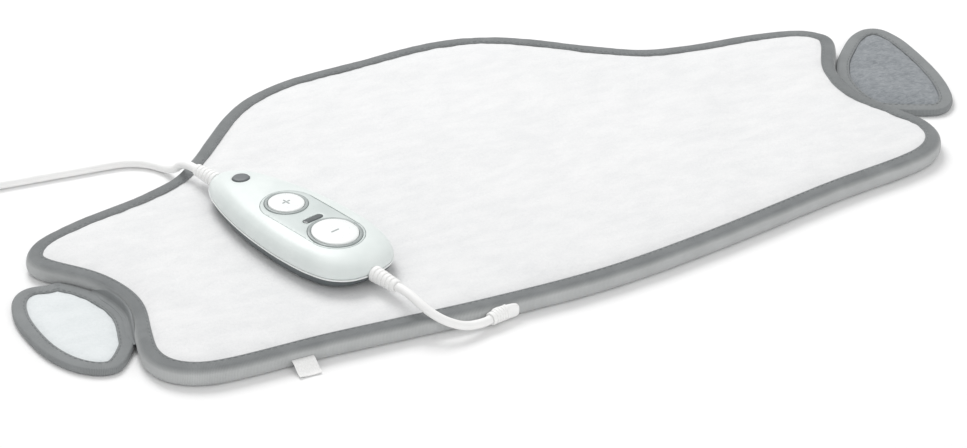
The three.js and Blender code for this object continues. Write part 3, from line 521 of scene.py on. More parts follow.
materials = {
    "fleece": fleece("white_fleece", (242, 242, 242), (227, 228, 229), 0.25),
    "grey_fleece": heather("grey_felt", (160, 164, 168), (116, 121, 125)),
    # the paler second pair of colours is painted light on the side of the pad's edge
    "edge_tape": woven_tape("grey_tape_painted_lit_side", (138, 141, 142), (119, 122, 123),
                            (198, 200, 200), (180, 182, 182)),
    "label_tape": satin("label_satin", (247, 247, 246), (232, 232, 231)),
    "wadding": wadding("white_wadding", (240, 236, 226), (220, 215, 203)),
    "wire_sheath": rubber("wire_sheath", (190, 92, 72), (160, 70, 54), 0.45),
    "housing_plastic": moulded("shell_plastic", (232, 238, 236), (223, 230, 228)),
    "panel_plastic": moulded("panel_plastic", (209, 217, 215), (200, 208, 206), 0.32),
    "ring_plastic": moulded("ring_plastic", (165, 172, 171), (150, 157, 156), 0.3),
    "key_white": moulded("key_plastic", (245, 247, 246), (237, 240, 239), 0.3),
    "key_grey": moulded("power_key_plastic", (112, 117, 119), (98, 103, 105), 0.4),
    "dark_plastic": moulded("lens_plastic", (86, 92, 94), (70, 76, 78), 0.16, 0.00001, 0.6),
    "black_plastic": moulded("device_plastic", (46, 47, 48), (34, 35, 36), 0.45),
    "board_laminate": laminate("board_laminate", (76, 138, 98), (38, 92, 60)),
    "cord_rubber": rubber("cord_rubber", (250, 250, 249), (243, 243, 242)),
    "steel": metal("plated_steel", (206, 208, 210), (180, 182, 185)),
}
tab_tape_cloth = woven_tape("grey_tab_tape", (152, 155, 156), (132, 135, 136))
thread = rubber("sewing_thread", (150, 154, 155), (122, 126, 127), 0.7)
# painted shade: the lower shell's dark grey stands in for the contact shadow under the handset's side
base_plastic_painted_shade = moulded("base_plastic_painted_shade", (98, 104, 106), (86, 92, 94), 0.42)
teal_fleece = fleece("left_tab_fleece", (235, 239, 240), (221, 226, 227))
sleeve = rubber("pin_sleeve", (240, 240, 238), (228, 228, 226), 0.45)


def dress(piece, slot, *nodes, material=None):
    """Gives a piece the material of its slot, or the given one, and hides the CAD nodes it stands for."""
    piece.data.materials.clear()
    piece.data.materials.append(material or materials[slot])
    if nodes:
        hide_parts(*nodes)
    return piece


# Cords
cord_radius = 2.75
pad_lead_route = [
    (-126.4, -125.1, 22.9), (-125.2, -130.6, 22.9), (-124.1, -136, 22.3), (-122.9, -141.5, 20.9),
    (-121, -146.7, 18.7), (-118, -151.4, 16), (-114.2, -155.5, 13.3), (-109.7, -158.7, 10.9),
    (-104.6, -161, 8.8), (-99.2, -162.1, 7.3), (-93.6, -162.2, 6.5), (-87.7, -161.7, 6),
    (-83.8, -160.7, 6),
]
mains_lead_route = [
    (-166.2, 61.9, 22.9), (-167.4, 69.3, 22.2), (-167.9, 76.8, 19.8), (-167.7, 84.3, 15.4),
    (-166.9, 91.7, 9.7), (-167.2, 99.2, 5.4), (-169.1, 106.4, 3.2), (-172.6, 113.1, 2.8),
    (-177.5, 118.7, 2.8), (-183.6, 123.1, 2.8), (-190.5, 126, 2.8), (-197.8, 127.5, 2.8),
    (-205.2, 128.8, 2.8), (-220, 131.2, 2.8), (-233.8, 133.6, 2.8), (-247.6, 135.9, 2.8),
    (-261.4, 138.2, 2.8), (-275.2, 140.6, 3.2), (-287, 142.3, 3.6), (-296.2, 143.1, 3.65),
]
tail_route = [
    (-316, 143.1, 9.6), (-322, 143, 9.1), (-329, 142.2, 7.6), (-336, 140.6, 5.7), (-343, 137.7, 4),
    (-350, 133.5, 3), (-356.8, 127.9, 2.8), (-363, 120.9, 2.8), (-368.2, 112.6, 3.1),
    (-371.8, 103.3, 4), (-373.6, 93.6, 5.4), (-374, 85.5, 6.4), (-374, 80.5, 6.8), (-374, 76.3, 6.85),
]
coil_centre = (-306, 186)
coil_middle, coil_turns, coil_pitch = 33, 3.25, 6.1
coil_outer = coil_middle + coil_pitch * coil_turns / 2
coil_inner = coil_middle - coil_pitch * coil_turns / 2
coil_low, coil_rise = 3.65, 6


def coil_route():
    """Spirals in on the table, climbs a layer in half a turn, and spirals out on top."""
    steps = 24
    layer, climbing = round(coil_turns * steps), steps // 2
    k = np.arange(2 * layer + climbing + 1)
    climb = np.clip((k - layer) / climbing, 0, 1) * math.pi
    wound = np.minimum(np.minimum(k, layer), 2 * layer + climbing - k)
    radius = coil_outer - coil_pitch * wound / steps - 1.5 * np.sin(climb)
    angle = -math.pi / 2 - k / steps * 2 * math.pi
    return np.stack([coil_centre[0] + radius * np.cos(angle), coil_centre[1] + radius * np.sin(angle),
                     coil_low + coil_rise * (1 - np.cos(climb)) / 2], 1).tolist()


def cord_curve(name, route):
    """A round cord along a route, and its length in metres."""
    line = catmull(route, False, 4)
    curve = bpy.data.curves.new(name, "CURVE")
    curve.dimensions = "3D"
    curve.bevel_depth = cord_radius
    curve.bevel_resolution = 5
    curve.use_fill_caps = True
    spline = curve.splines.new("POLY")
    spline.points.add(len(line) - 1)
    spline.points.foreach_set("co", np.c_[line * MM, np.ones(len(line))].ravel())
    spline.points.foreach_set("radius", [MM] * len(line))
    spline.use_smooth = True
    piece = in_scene(name, curve)
    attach(piece, PAD)
    length = float(np.linalg.norm(np.diff(line, axis=0), axis=1).sum()) * MM
    return piece, length


mains_cord, mains_length = cord_curve("mains_cord", mains_lead_route + coil_route() + tail_route)
dress(mains_cord, "cord_rubber", "mains_lead", "mains_lead_coil", "mains_lead_tail")
pad_cord, pad_cord_length = cord_curve("pad_cord", pad_lead_route)
dress(pad_cord, "cord_rubber", "pad_lead")


# Cloth
def relax(values, triangles, times):
    """Values at the points of a mesh, each averaged with its neighbours a number of times."""
    sides = [0, 1], [1, 2], [2, 0], [1, 0], [2, 1], [0, 2]
    a, b = np.vstack([triangles[:, side] for side in sides]).T
    count = np.maximum(np.bincount(a, minlength=len(values)), 1)
    for _ in range(times):
        values = 0.4 * values + 0.6 * np.bincount(a, values[b], len(values)) / count
    return values


def folds(flat, triangles, heights, gap, sewn, limit):
    """The sheet is a little too large, with air under it, and held as far in from its edge as it is sewn.
    """
    frames, fade = 18, 1.5
    held = np.clip((sewn - gap) / fade, 0, 1)
    mesh = bpy.data.meshes.new("settling")
    mesh.from_pydata((np.c_[flat, heights] * MM).tolist(), [], triangles.tolist())
    sheet = in_scene("settling", mesh)
    group = sheet.vertex_groups.new(name="held")
    for k in np.flatnonzero(held > 0):
        group.add([int(k)], float(held[k]), "REPLACE")
    cloth = sheet.modifiers.new("Cloth", "CLOTH")
    for key, value in {
        "quality": 5, "mass": 0.1, "tension_stiffness": 15, "compression_stiffness": 10, "shear_stiffness": 5,
        "bending_stiffness": 1.5, "vertex_group_mass": "held", "use_pressure": True,
        "uniform_pressure_force": 0.5, "shrink_min": -0.008,
    }.items():
        setattr(cloth.settings, key, value)
    cloth.settings.effector_weights.gravity = 0
    cloth.collision_settings.use_collision = False
    cloth.point_cache.frame_end = frames
    for number in range(1, frames + 1):
        bpy.context.scene.frame_set(number)
    settled = sheet.evaluated_get(bpy.context.evaluated_depsgraph_get()).data
    out = np.empty(len(flat) * 3, np.float32)
    settled.vertices.foreach_get("co", out)
    bpy.data.objects.remove(sheet)
    bpy.data.meshes.remove(mesh)
    bpy.context.scene.frame_set(1)
    lift = out.reshape(-1, 3)[:, 2].astype(float) / MM - heights
    lift = relax(lift, triangles, times=3)
    lift -= relax(lift, triangles, times=60)
    return limit * np.tanh(lift / limit)


def cover(loop, depths, step, count, spacing, taped):
    """Triangles inside a loop, and each point's depth, run along the loop, reach past the tape and tuck."""
    rings = inset_loops(loop, depths, step)
    flat, triangles = fill(rings[0], [], [resample(ring, count) for ring in rings[1:]], spacing, 0.3)
    gap, at = nearest(flat, loop)
    run = at * np.linalg.norm(loop[1] - loop[0])
    return flat, triangles, gap, run, np.clip(gap - taped, 0, None), np.clip((taped - gap) / 6, 0, 1)


# Pad
half_length, half_width = 296, 161.5
pad_half = [
    (0, 1), (0.203, 0.991), (0.337, 0.898), (0.521, 0.594), (0.594, 0.489), (0.693, 0.43),
    (0.861, 0.372), (0.962, 0.3), (1, 0.186), (0.918, -0.07), (0.897, -0.27), (0.93, -0.48),
    (0.95, -0.62), (0.938, -0.73), (0.878, -0.83), (0.594, -0.892), (0.248, -0.972), (0, -1),
]
pad_right = [(x * half_length, y * half_width) for x, y in pad_half]
pad_points = [(-x, y) for x, y in pad_right[1:-1]] + [pad_right[-1]] + pad_right[-2::-1]
pad_loop = resample(catmull(pad_points, True, 24), 820)
pad_tape = {"width": 10, "thickness": 1, "height": 12, "sewn": 8.5}
tab_tape = {"width": 9, "thickness": 0.8, "height": 5, "sewn": 7.6}
handset_place = np.array([-146.3, -31.6, 14.3])
handset_heading = -78.0


def handset_gap(points):
    """How far each point is from the handset's footprint, which the pad carries flat."""
    core_x, core_y, core_radius = 48, 6, 26
    away = np.c_[points - handset_place[:2], np.zeros(len(points))]
    x, y, _ = np.abs(to_frame(away, -handset_heading, 0)).T
    gap = np.hypot(np.clip(x - core_x, 0, None), np.clip(y - core_y, 0, None))
    return np.clip(gap - core_radius, 0, None)


def pad_cover(upper):
    """The top cover with its crown, folds and puckers, or the flatter back cover."""
    flat, triangles, gap, run, beyond, tucked = cover(
        pad_loop, [4, 7, 10, 12.5, 15, 18], step=0.5, count=820, spacing=4.2, taped=pad_tape["width"])
    pucker = wobble(run / 9, gap / 26, 3.1) + 0.6 * wobble(run / 4.5, gap / 18, 7.7)
    if upper:
        taped_height, swell = 11.25, 2.85
        slow = wobble(*flat.T / 95, 1.3) + 0.45 * wobble(*flat.T / 38, 5.2)
        calm = np.clip(handset_gap(flat) / 30, 0, 1) ** 1.5
        top = taped_height + swell * (1 - np.exp(-beyond / 6.5)) - 0.35 * tucked
        top += folds(flat, triangles, top, gap, sewn=11.5, limit=0.9) * calm
        top += pucker * 0.4 * np.exp(-beyond / 10) * (1 - tucked)
        top += (0.25 + slow * 0.8) * np.clip(beyond / 45, 0, 1) * calm
        bottom = np.minimum(top - 1.5, 10.2 + np.clip(beyond / 12, 0, 1) * 1.35)
    else:
        bottom = 1.3 * np.exp(-beyond / 5) * (1 - 0.3 * tucked) + 0.02
        bottom += np.abs(pucker) * 0.25 * np.exp(-beyond / 8)
        top = bottom + 0.9
    return slab_of(flat, triangles, top, bottom)


for name, upper, fullness in (("top", True, 0.35), ("back", False, 0.2)):
    fleece_cover = add_piece(f"fleece_{name}_cover", *pad_cover(upper), smooth_angle=80)
    dress(fleece_cover, "fleece", f"pad_{name}_cover")


def tape_section(width, thickness, height, sewn):
    """Points (inset, z) of a tape folded round an edge: its outside, then its inside."""
    r, inner = height / 2, height / 2 - thickness
    quarter, sag = math.pi / 2, 0.25
    turn = [(r * 0.55 * (1 - math.cos(a)), r + r * math.sin(a)) for a in np.linspace(quarter, -quarter, 15)]
    top = [(width, height - 0.35), (width - 0.5, height - 0.05), (sewn + 0.8, height),
           (sewn, height - sag), (sewn - 0.8, height + 0.03), ((sewn + r) / 2, height + 0.06)]
    bottom = [(x, height - z) for x, z in reversed(top)]
    turn_in = [(thickness + inner * 0.5 * (1 - math.cos(a)), r + inner * math.sin(a))
               for a in np.linspace(-quarter, quarter, 9)]
    return top + turn + bottom, [(width, thickness)] + turn_in + [(width, height - thickness)]


def tape_piece(name, loop, tape, lift, seed, body=PAD):
    """Folded tape round a loop, with slight waves of its edge and ripples at the stitches."""
    outside, inner = tape_section(**tape)
    width, height = tape["width"], tape["height"]
    section = outside + inner
    n = len(loop)
    run = np.arange(n) * np.linalg.norm(loop[1] - loop[0])
    depths = sorted({x for x, _ in section})
    loops = dict(zip(depths, inset_loops(loop, depths)))
    wave, ripple = wobble(run / 21, seed), wobble(run / 6, seed + 9)
    grid = []
    for k, (x, z) in enumerate(section):
        flat = loops[x].copy()
        share = x / width
        if k < len(outside):
            rise = lift * (0.7 * wave + 0.5 * ripple) * math.sin(math.pi * min(share * 1.2, 1))
            height_here = z + (rise if z > height / 2 else -np.minimum(rise, 0) * 0.3 * (z > 0.3))
            flat += outward(loop) * (wave * 0.25 * (1 - share))[:, None]
        else:
            height_here = np.full(n, z)
        grid.append(np.c_[flat, np.clip(height_here + np.zeros(n), 0.0, None)])
    grid = np.array(grid)
    vertices, faces, uvs = sweep(grid, True, True)
    return add_piece(name, vertices, faces, uvs, body=body, smooth_angle=60)


def stitches(name, loop, height, length, pitch, radius, body=PAD):
    """A row of short rounded threads on a loop."""
    sides, fineness = 6, 8
    sections = ((0, 0.35, -0.35), (0.12, 0.9, -0.05), (0.5, 1, 0.08), (0.88, 0.9, -0.05), (1, 0.35, -0.35))
    fine = resample(loop, int(lengths(loop)[-1] / pitch) * fineness)
    parts = []
    for k in range(0, len(fine), fineness):
        a, b = fine[k], fine[(k + int(fineness * length / pitch)) % len(fine)]
        along = (b - a) / np.linalg.norm(b - a)
        side = np.array([-along[1], along[0]])
        points = []
        for t, share, lift in sections:
            for w in circle(sides):
                x, y = a + (b - a) * t + side * math.cos(w) * radius * share
                points.append((x, y, height + lift * radius * 2 + math.sin(w) * radius * share))
        parts.append((points, capped(len(sections), sides)))
    dress(add_piece(name, *joined(*parts), body=body, smooth_angle=70), "edge_tape", material=thread)


dress(tape_piece("pad_edge_tape", pad_loop, pad_tape, lift=0.4, seed=2.0), "edge_tape", "edge_binding")
stitches("pad_edge_stitches", inset_loops(pad_loop, [pad_tape["sewn"]])[0],
         height=11.95, length=2.9, pitch=4.1, radius=0.3)

# Tabs
left_tab_outer = [
    (0.43, 0.47), (0.55, 0.497), (0.7, 0.495), (0.85, 0.43), (0.96, 0.275), (1, 0.06),
    (0.97, -0.175), (0.84, -0.37), (0.65, -0.48), (0.48, -0.5), (0.35, -0.45),
]
right_tab_outer = [
    (0.44, 0.365), (0.67, 0.475), (0.84, 0.5), (0.955, 0.455), (1, 0.33), (0.985, 0.16),
    (0.93, -0.06), (0.82, -0.3), (0.68, -0.45), (0.52, -0.495), (0.33, -0.44),
]
notch_x = half_length * 0.897


def tab_outline(side, reach, length, centre_y, outer_shares, far_root):
    """Loop of a tab: its outer shares, closed along the pad's notch at the seam's gap."""
    seam_gap, near_root = 0.3, -0.375
    coarse = catmull(pad_points, True, 2)
    far, near = centre_y + far_root * length, centre_y + near_root * length
    def notch(loop):
        keep = (loop[:, 0] > notch_x - 0.3) & (loop[:, 1] < far) & (loop[:, 1] > near)
        found = (loop + outward(loop) * seam_gap)[keep]
        return found[np.argsort(-found[:, 1])]
    ends, dense = notch(coarse), notch(pad_loop)
    dense = dense[(dense[:, 1] < ends[0][1]) & (dense[:, 1] > ends[-1][1])]
    outer = [(notch_x + x * reach, centre_y + y * length) for x, y in outer_shares]
    outside = catmull([ends[0], *outer, ends[-1]], False, 24)
    loop = np.vstack([outside[::-1], dense]) * [side, 1]
    return soften(resample(loop[::side], 400), weight=0.5, times=28)


def tab(name, slot, seed, face_material=None, **outline):
    """A tab's padded face, its tape and its stitches, on the tab's own body."""
    body = f"{name}_tab"
    taped_height, swell = 4.0, 2.1
    loop = tab_outline(**outline)
    flat, triangles, gap, run, beyond, tucked = cover(
        loop, [3, 6, 9, 10.5, 12.5, 15], step=0.4, count=320, spacing=2.6, taped=tab_tape["width"])
    pucker = wobble(run / 8, gap / 22, seed) + 0.5 * wobble(run / 4, gap / 16, seed + 4)
    slow = wobble(*flat.T / 40, seed)
    top = taped_height + swell * (1 - np.exp(-beyond / 4.5)) - 0.15 * tucked
    top += folds(flat, triangles, top, gap, sewn=10.5, limit=0.5)
    top += pucker * 0.4 * np.exp(-beyond / 7) * (1 - tucked) + slow * 0.5 * np.clip(beyond / 15, 0, 1)
    bottom = 1.15 * np.exp(-beyond / 4) + 0.02
    face = add_piece(f"{name}_tab_face", *slab_of(flat, triangles, top, bottom), body=body, smooth_angle=80)
    dress(face, slot, f"{name}_tab_pad", material=face_material)
    tape = tape_piece(f"{name}_tab_tape", loop, tab_tape, lift=0.25, seed=seed, body=body)
    dress(tape, "edge_tape", f"{name}_tab_binding", material=tab_tape_cloth)
    sewn = inset_loops(loop, [tab_tape["sewn"]])[0]
    stitches(f"{name}_tab_stitches", sewn, height=4.95, length=2.7, pitch=3.9, radius=0.28, body=body)


tab("left", "fleece", 11.0, teal_fleece, side=-1, reach=61.5, length=108, centre_y=-42,
    outer_shares=left_tab_outer, far_root=0.49)
tab("right", "grey_fleece", 17.0, side=1, reach=77.5, length=122, centre_y=-22,
    outer_shares=right_tab_outer, far_root=0.29)


def seam_web(name, side, low, high):
    """Tape that joins a tab to the pad across the middle of its notch, and narrows at its ends."""
    end_x, narrowing, hinge_height = 255, 14, 5.0
    x, y = pad_loop.T
    edge, normal = stretch(pad_loop, (x > end_x) & (y > low) & (y < high), y)
    ends = np.clip(np.minimum(edge[:, 1] - low, high - edge[:, 1]) / narrowing, 0, 1)
    full = ends * ends * (3 - 2 * ends)
    section = [(-0.5, 11), (0.25, 10.3), (0.55, 9.2), (0.6, 7.8), (0.75, 6.5), (1.4, 5.75), (2.8, 5.4),
               (4.4, 5.2), (4.4, 4.85), (2.8, 4.9), (1.4, 5.1), (0.3, 5.7), (0.05, 7), (0, 8.4),
               (-0.4, 9.8), (-0.9, 10.6)]
    rows = []
    for out, z in section:
        height = hinge_height + (z - hinge_height) * (0.12 + 0.88 * full)
        rows.append(np.c_[(edge + normal * (out * (0.3 + 0.7 * full))[:, None]) * [side, 1], height])
    vertices, faces, uvs = sweep(np.array(rows), True, False)
    faces += bar_ends(len(rows), len(edge))
    uvs += [(0, 0)] * (2 * len(rows))
    piece = add_piece(name, vertices, faces, uvs, body=None, smooth_angle=60)
    dress(piece, "edge_tape", material=tab_tape_cloth)
    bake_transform(piece)


seam_web("left_tab_seam", -1, low=-80, high=-10)
seam_web("right_tab_seam", 1, low=-66, high=-10)


# Label and gland
label_x, gland_x, edge_middle = -199, -72, 6


def near_edge(x):
    """The place of the pad's near edge at x, and its heading in degrees."""
    below = np.flatnonzero(pad_loop[:, 1] < 0)
    k = below[np.argmin(np.abs(pad_loop[below, 0] - x))]
    a, b = pad_loop[k - 1], pad_loop[(k + 1) % len(pad_loop)]
    return np.array([x, pad_loop[k][1]]), math.degrees(math.atan2(b[1] - a[1], b[0] - a[0]))


def label():
    """Blank woven label folded double, which leaves the edge and curls down to the table."""
    place, heading = near_edge(label_x)
    half_label, drop, thickness = 7, 11.7, 0.55
    t, u = np.meshgrid(np.linspace(0, 1, 15), np.linspace(-1, 1, 17), indexing="ij")
    droop = (edge_middle - 0.6) * (1 - np.cos(math.pi * t)) / 2 * (0.93 + 0.035 * u)
    height = edge_middle - droop + 0.5 * u * u * t
    upper = np.stack([u * half_label, -0.25 - drop * t - 0.15 * u * t, height], 2)
    grid = np.vstack([upper, upper[-1:] - [0, 0.3, 0.27], upper[::-1] - [0, 0, thickness]])
    vertices, faces, _ = sweep(grid, True, False)
    faces += bar_ends(*grid.shape[:2])
    vertices = to_frame(vertices, heading, (*place, 0))
    vertices[:, 2] = np.clip(vertices[:, 2], 0.02, None)
    piece = add_piece("care_label_cloth", vertices, faces, smooth_angle=60)
    dress(piece, "label_tape", "care_label")


label()


def gland():
    """Rounded plate on the near edge, with the grooved boot that the lead enters at a slant."""
    place, heading = near_edge(gland_x)
    slant, count = 68, 64
    loops = []
    for depth, shrink in ((-0.1, 0.0), (-1.6, 0.0), (-2.1, 0.25), (-2.3, 0.8)):
        x, z = superellipse(count, 9 - shrink, 4.5 - shrink, 0.5)
        loops.append(np.stack([x, np.full(count, depth), z], 1))
    rounded_plate = (np.vstack(loops), capped(len(loops), count))
    corners = [(0, -0.55), (-0.55, -0.4), (-0.55, 0.2), (-0.1, 0.35)]
    profile = [(5.2, 0)] + grooves(0, 12, 5.2, 3.9, 6.2, corners) + [(4.0, 11.6), (3.75, 12), (3.0, 12)]
    vertices, faces = lathe(profile, 40)
    boot = to_frame(vertices, -90 - slant, (0, 0, 0))
    boot[:, 1] = np.minimum(boot[:, 1], -0.3)
    vertices, faces = joined(rounded_plate, (boot, faces))
    vertices = to_frame(vertices, heading, (*place, edge_middle))
    piece = add_piece("pad_cord_gland_moulding", vertices, faces, smooth_angle=50)
    dress(piece, "cord_rubber", "pad_cord_gland")


gland()

# Handset
handset_length, half_handset, handset_height = 150, 31, 22
plan = [
    (0, 0), (0.02, 0.27), (0.08, 0.48), (0.2, 0.69), (0.36, 0.87), (0.52, 0.97), (0.68, 1),
    (0.82, 0.95), (0.92, 0.8), (0.98, 0.5), (1, 0),
]
plan_side = [((a - 0.5) * handset_length, h * half_handset) for a, h in plan]
handset_loop = resample(catmull([(x, -y) for x, y in plan_side] + plan_side[-2:0:-1], True, 24), 260)
lower_rim, upper_rim = 7.8, 9.4
crown = catmull([(1, 0), (0.995, 0.18), (0.962, 0.46), (0.9, 0.69), (0.8, 0.85), (0.64, 0.945),
                 (0.36, 0.99), (0, 1)], False, 8)
under = catmull([(0.8, 0), (0.89, 0.14), (0.955, 0.45), (0.99, 0.8), (1, 1)], False, 6)
polar_angle = np.arctan2(handset_loop[:, 1], handset_loop[:, 0])
polar_reach = np.hypot(*handset_loop.T)


def crown_height(flat, proud):
    """Heights over the housing's crowned top at places in the handset's frame."""
    x, y = flat.T
    reach = np.interp(np.arctan2(y, x), polar_angle, polar_reach, period=2 * math.pi)
    rise = np.interp(np.minimum(np.hypot(x, y) / reach, 1), *crown[::-1].T)
    return upper_rim + (handset_height - upper_rim) * rise + proud


def plate(outline_at, holes_at, proud, bottom, spacing, radius):
    """Plate proud of the crown, whose rims are rounded; outline and holes give a loop for a margin."""
    steps = [0.15 * radius, 0.45 * radius, radius]
    outline, holes = outline_at(0), [hole(0) for hole in holes_at]
    rings = [outline_at(-s) for s in steps] + [hole(s) for hole in holes_at for s in steps]
    flat, triangles = fill(outline, holes, rings, spacing)
    gap, _ = nearest(flat, np.vstack([resample(loop, 4 * len(loop)) for loop in (outline, *holes)]))
    gap = np.clip(gap, 0, radius)
    drop = radius - np.sqrt(np.clip(radius ** 2 - (radius - gap) ** 2, 0, None))
    return slab_of(flat, triangles, crown_height(flat, proud) - drop, np.full(len(flat), bottom))


# each key's place along the handset and its two half sizes
keys = {"power": (-51, 5.5, 5.5), "warmer": (-7, 11.5, 11), "cooler": (39, 15, 14)}
clearance = 0.3
pocket_floor, ceiling = 19.1, 17.3
panel_length, panel_x, panel_width = 79.7, 17.75, 35.2
lens_x, lens_length, lens_width = 18.15, 14, 4.4
cord_height = 8.6
screws = [(-32, -15.5), (-32, 15.5), (58, -15.5), (58, 15.5)]
screw_head, screw_hole = (3, 1.8), (1.7, 12)


def on_handset(name, vertices, faces, body=PAD, smooth_angle=40):
    return add_piece(name, to_frame(vertices, handset_heading, handset_place), faces, body=body,
                     smooth_angle=smooth_angle)


def carve(piece, cutters):
    """Cuts the closed bodies out of a piece of the handset."""
    for k, cutter_mesh in enumerate(cutters):
        cutter = on_handset(f"{piece.name}_cutter_{k}", *cutter_mesh, body=None)
        cutter.matrix_world = piece.matrix_world
        bpy.context.view_layer.update()
        modifier = piece.modifiers.new("cut", "BOOLEAN")
        modifier.operation = "DIFFERENCE"
        modifier.solver = "EXACT"
        modifier.object = cutter
        view = bpy.context.evaluated_depsgraph_get()
        mesh = bpy.data.meshes.new_from_object(piece.evaluated_get(view))
        piece.modifiers.clear()
        old = piece.data
        piece.data = mesh
        bpy.data.meshes.remove(old)
        bpy.data.objects.remove(cutter)
    finish_mesh(piece.data, 32)


def relief_holes():
    """Rods where the strain reliefs pass through the shells."""
    radius, length = 4.3, 16
    rods = [lathe([(radius, low), (radius, low + length)], 40) for low in (-80, 64)]
    return [(vertices + [0, 0, cord_height], faces) for vertices, faces in rods]


upper_profile = [(0, 0, ceiling), (0.86, 2, ceiling), (0.955, 2, (ceiling + upper_rim) / 2 + 2),
                 (1, 2, upper_rim), (1, 0.25, upper_rim), (1, 0, upper_rim + 0.2)]
upper_profile += [(s, 0, upper_rim + (handset_height - upper_rim) * r) for s, r in crown[2:]]
upper_shell = on_handset("handset_top_housing", *wrapped(handset_loop, upper_profile))
above = handset_height + 4
cuts = [prism(obround(panel_x, 0, panel_length, panel_width, clearance), pocket_floor, above)]
cuts += [prism(oval(*key, clearance), ceiling - 3, above) for key in keys.values()]
cuts += [prism(oval(lens_x, 1.2, 1.2), ceiling - 3, above)] + relief_holes()
carve(upper_shell, cuts)
dress(upper_shell, "housing_plastic", "handset_upper_shell")

floor_top = 2.2
lower_profile = [(0, 0, 0)] + [(s, 0, lower_rim * r) for s, r in under[:-1]]
lower_profile += [(1, 0, lower_rim - 0.2), (1, 0.25, lower_rim), (1, 2, lower_rim), (0.955, 2, lower_rim / 2),
                  (0.86, 2, floor_top), (0, 0, floor_top)]
lower_shell = on_handset("handset_base_housing", *wrapped(handset_loop, lower_profile))
cuts = [prism(oval(0, radius, radius) + [x, y], -3, depth)
        for radius, depth in (screw_head, screw_hole) for x, y in screws] + relief_holes()
carve(lower_shell, cuts)
# the lower shell takes the dark grey that is painted shade under the handset
dress(lower_shell, "key_grey", "handset_lower_shell", material=base_plastic_painted_shade)


def band(name, side, node):
    """Pale band in the parting line, on one side of the handset."""
    cord_gap = 4.8
    x, y = handset_loop.T
    edge, normal = stretch(handset_loop, y * side > cord_gap, x * side)
    section = [(-2, 8.1), (0.25, 8.1), (0.4, 8.25), (0.4, 8.95), (0.25, 9.1), (-2, 9.1)]
    grid = np.array([np.c_[edge + normal * out, np.full(len(edge), z)] for out, z in section])
    vertices, faces, _ = sweep(grid, True, False)
    piece = on_handset(name, vertices, faces + bar_ends(len(section), len(edge)))
    dress(piece, "key_white", node)


band("seam_band_right", 1, "parting_band_right")
band("seam_band_left", -1, "parting_band_left")


def at_key(name, base):
    return lambda margin: oval(*keys[name], base + margin)


def at_lens(base):
    return lambda margin: obround(lens_x, 0, lens_length, lens_width, base + margin, 20, upright=True)


plate_floor = pocket_floor + clearance
panel = on_handset("button_panel", *plate(
    lambda margin: obround(panel_x, 0, panel_length, panel_width, margin),
    [at_key("warmer", 2.6), at_key("cooler", 2.6), at_lens(clearance)],
    proud=0.05, bottom=plate_floor, spacing=1.6, radius=0.35))
dress(panel, "panel_plastic", "control_panel")

lens = on_handset("status_window", *plate(
    at_lens(0), [], proud=0.12, bottom=plate_floor, spacing=0.8, radius=0.5))
dress(lens, "dark_plastic", "status_lens")

for name in ("warmer", "cooler"):
    ring = plate(at_key(name, 2.3), [at_key(name, clearance)], proud=0.45, bottom=plate_floor,
                 spacing=0.8, radius=0.6)
    dress(on_handset(f"{name}_ring_trim", *ring), "ring_plastic", f"{name}_button_ring")

flange_low, flange_high = 15.8, 17.0
cap_proud = 0.95
for name, key in keys.items():
    top = plate(at_key(name, 0), [], proud=cap_proud, bottom=flange_low, spacing=1.1, radius=0.9)
    flange = prism(oval(*key, 1.5), flange_low, flange_high)
    cap = on_handset(f"{name}_key_cap", *joined(top, flange), body=f"{name}_key", smooth_angle=45)
    dress(cap, "key_grey" if name == "power" else "key_white", f"{name}_button")


def sign(name, bars):
    """Raised bars on a key's cap: (x, y, length, upright)."""
    parts = []
    for x, y, length, upright in bars:
        loop = obround(keys[name][0] + x, y, length, 1.0, 0, 10, upright)
        flat, triangles = fill(loop, [], [], 0.5)
        top = crown_height(flat, cap_proud + 0.12)
        parts.append(slab_of(flat, triangles, top, top - 0.5))
    raised = on_handset(f"{name}_sign", *joined(*parts), body=f"{name}_key", smooth_angle=30)
    dress(raised, "ring_plastic")


sign("warmer", [(0, 0, 6, False), (0, 1.9, 2.2, True), (0, -1.9, 2.2, True)])
sign("cooler", [(0, 0, 6, True)])


def relief(name, direction, node):
    """Grooved strain relief at one end of the handset, held in the shells by its collar."""
    shoulder, length, base, tip = 75.3, 20, 5.2, 3.9
    end = shoulder + length
    profile = [(0.01, 63.2), (5.6, 63.2), (5.6, 65.2), (4, 65.2), (4, shoulder - 0.2), (5.0, shoulder),
               (base, shoulder + 0.2)]
    corners = [(0.05, -0.75), (-0.7, -0.55), (-0.7, 0.4), (-0.02, 0.6)]
    profile += grooves(shoulder, length, base, tip, 6, corners)
    profile += [(tip + 0.05, end - 0.5), (tip - 0.25, end), (0.01, end)]
    vertices, faces = lathe(profile, 44)
    piece = on_handset(name, vertices * [direction, 1, 1] + [0, 0, cord_height], faces)
    dress(piece, "cord_rubber", node)


relief("far_relief_boot", -1, "far_strain_relief")
relief("near_relief_boot", 1, "near_strain_relief")


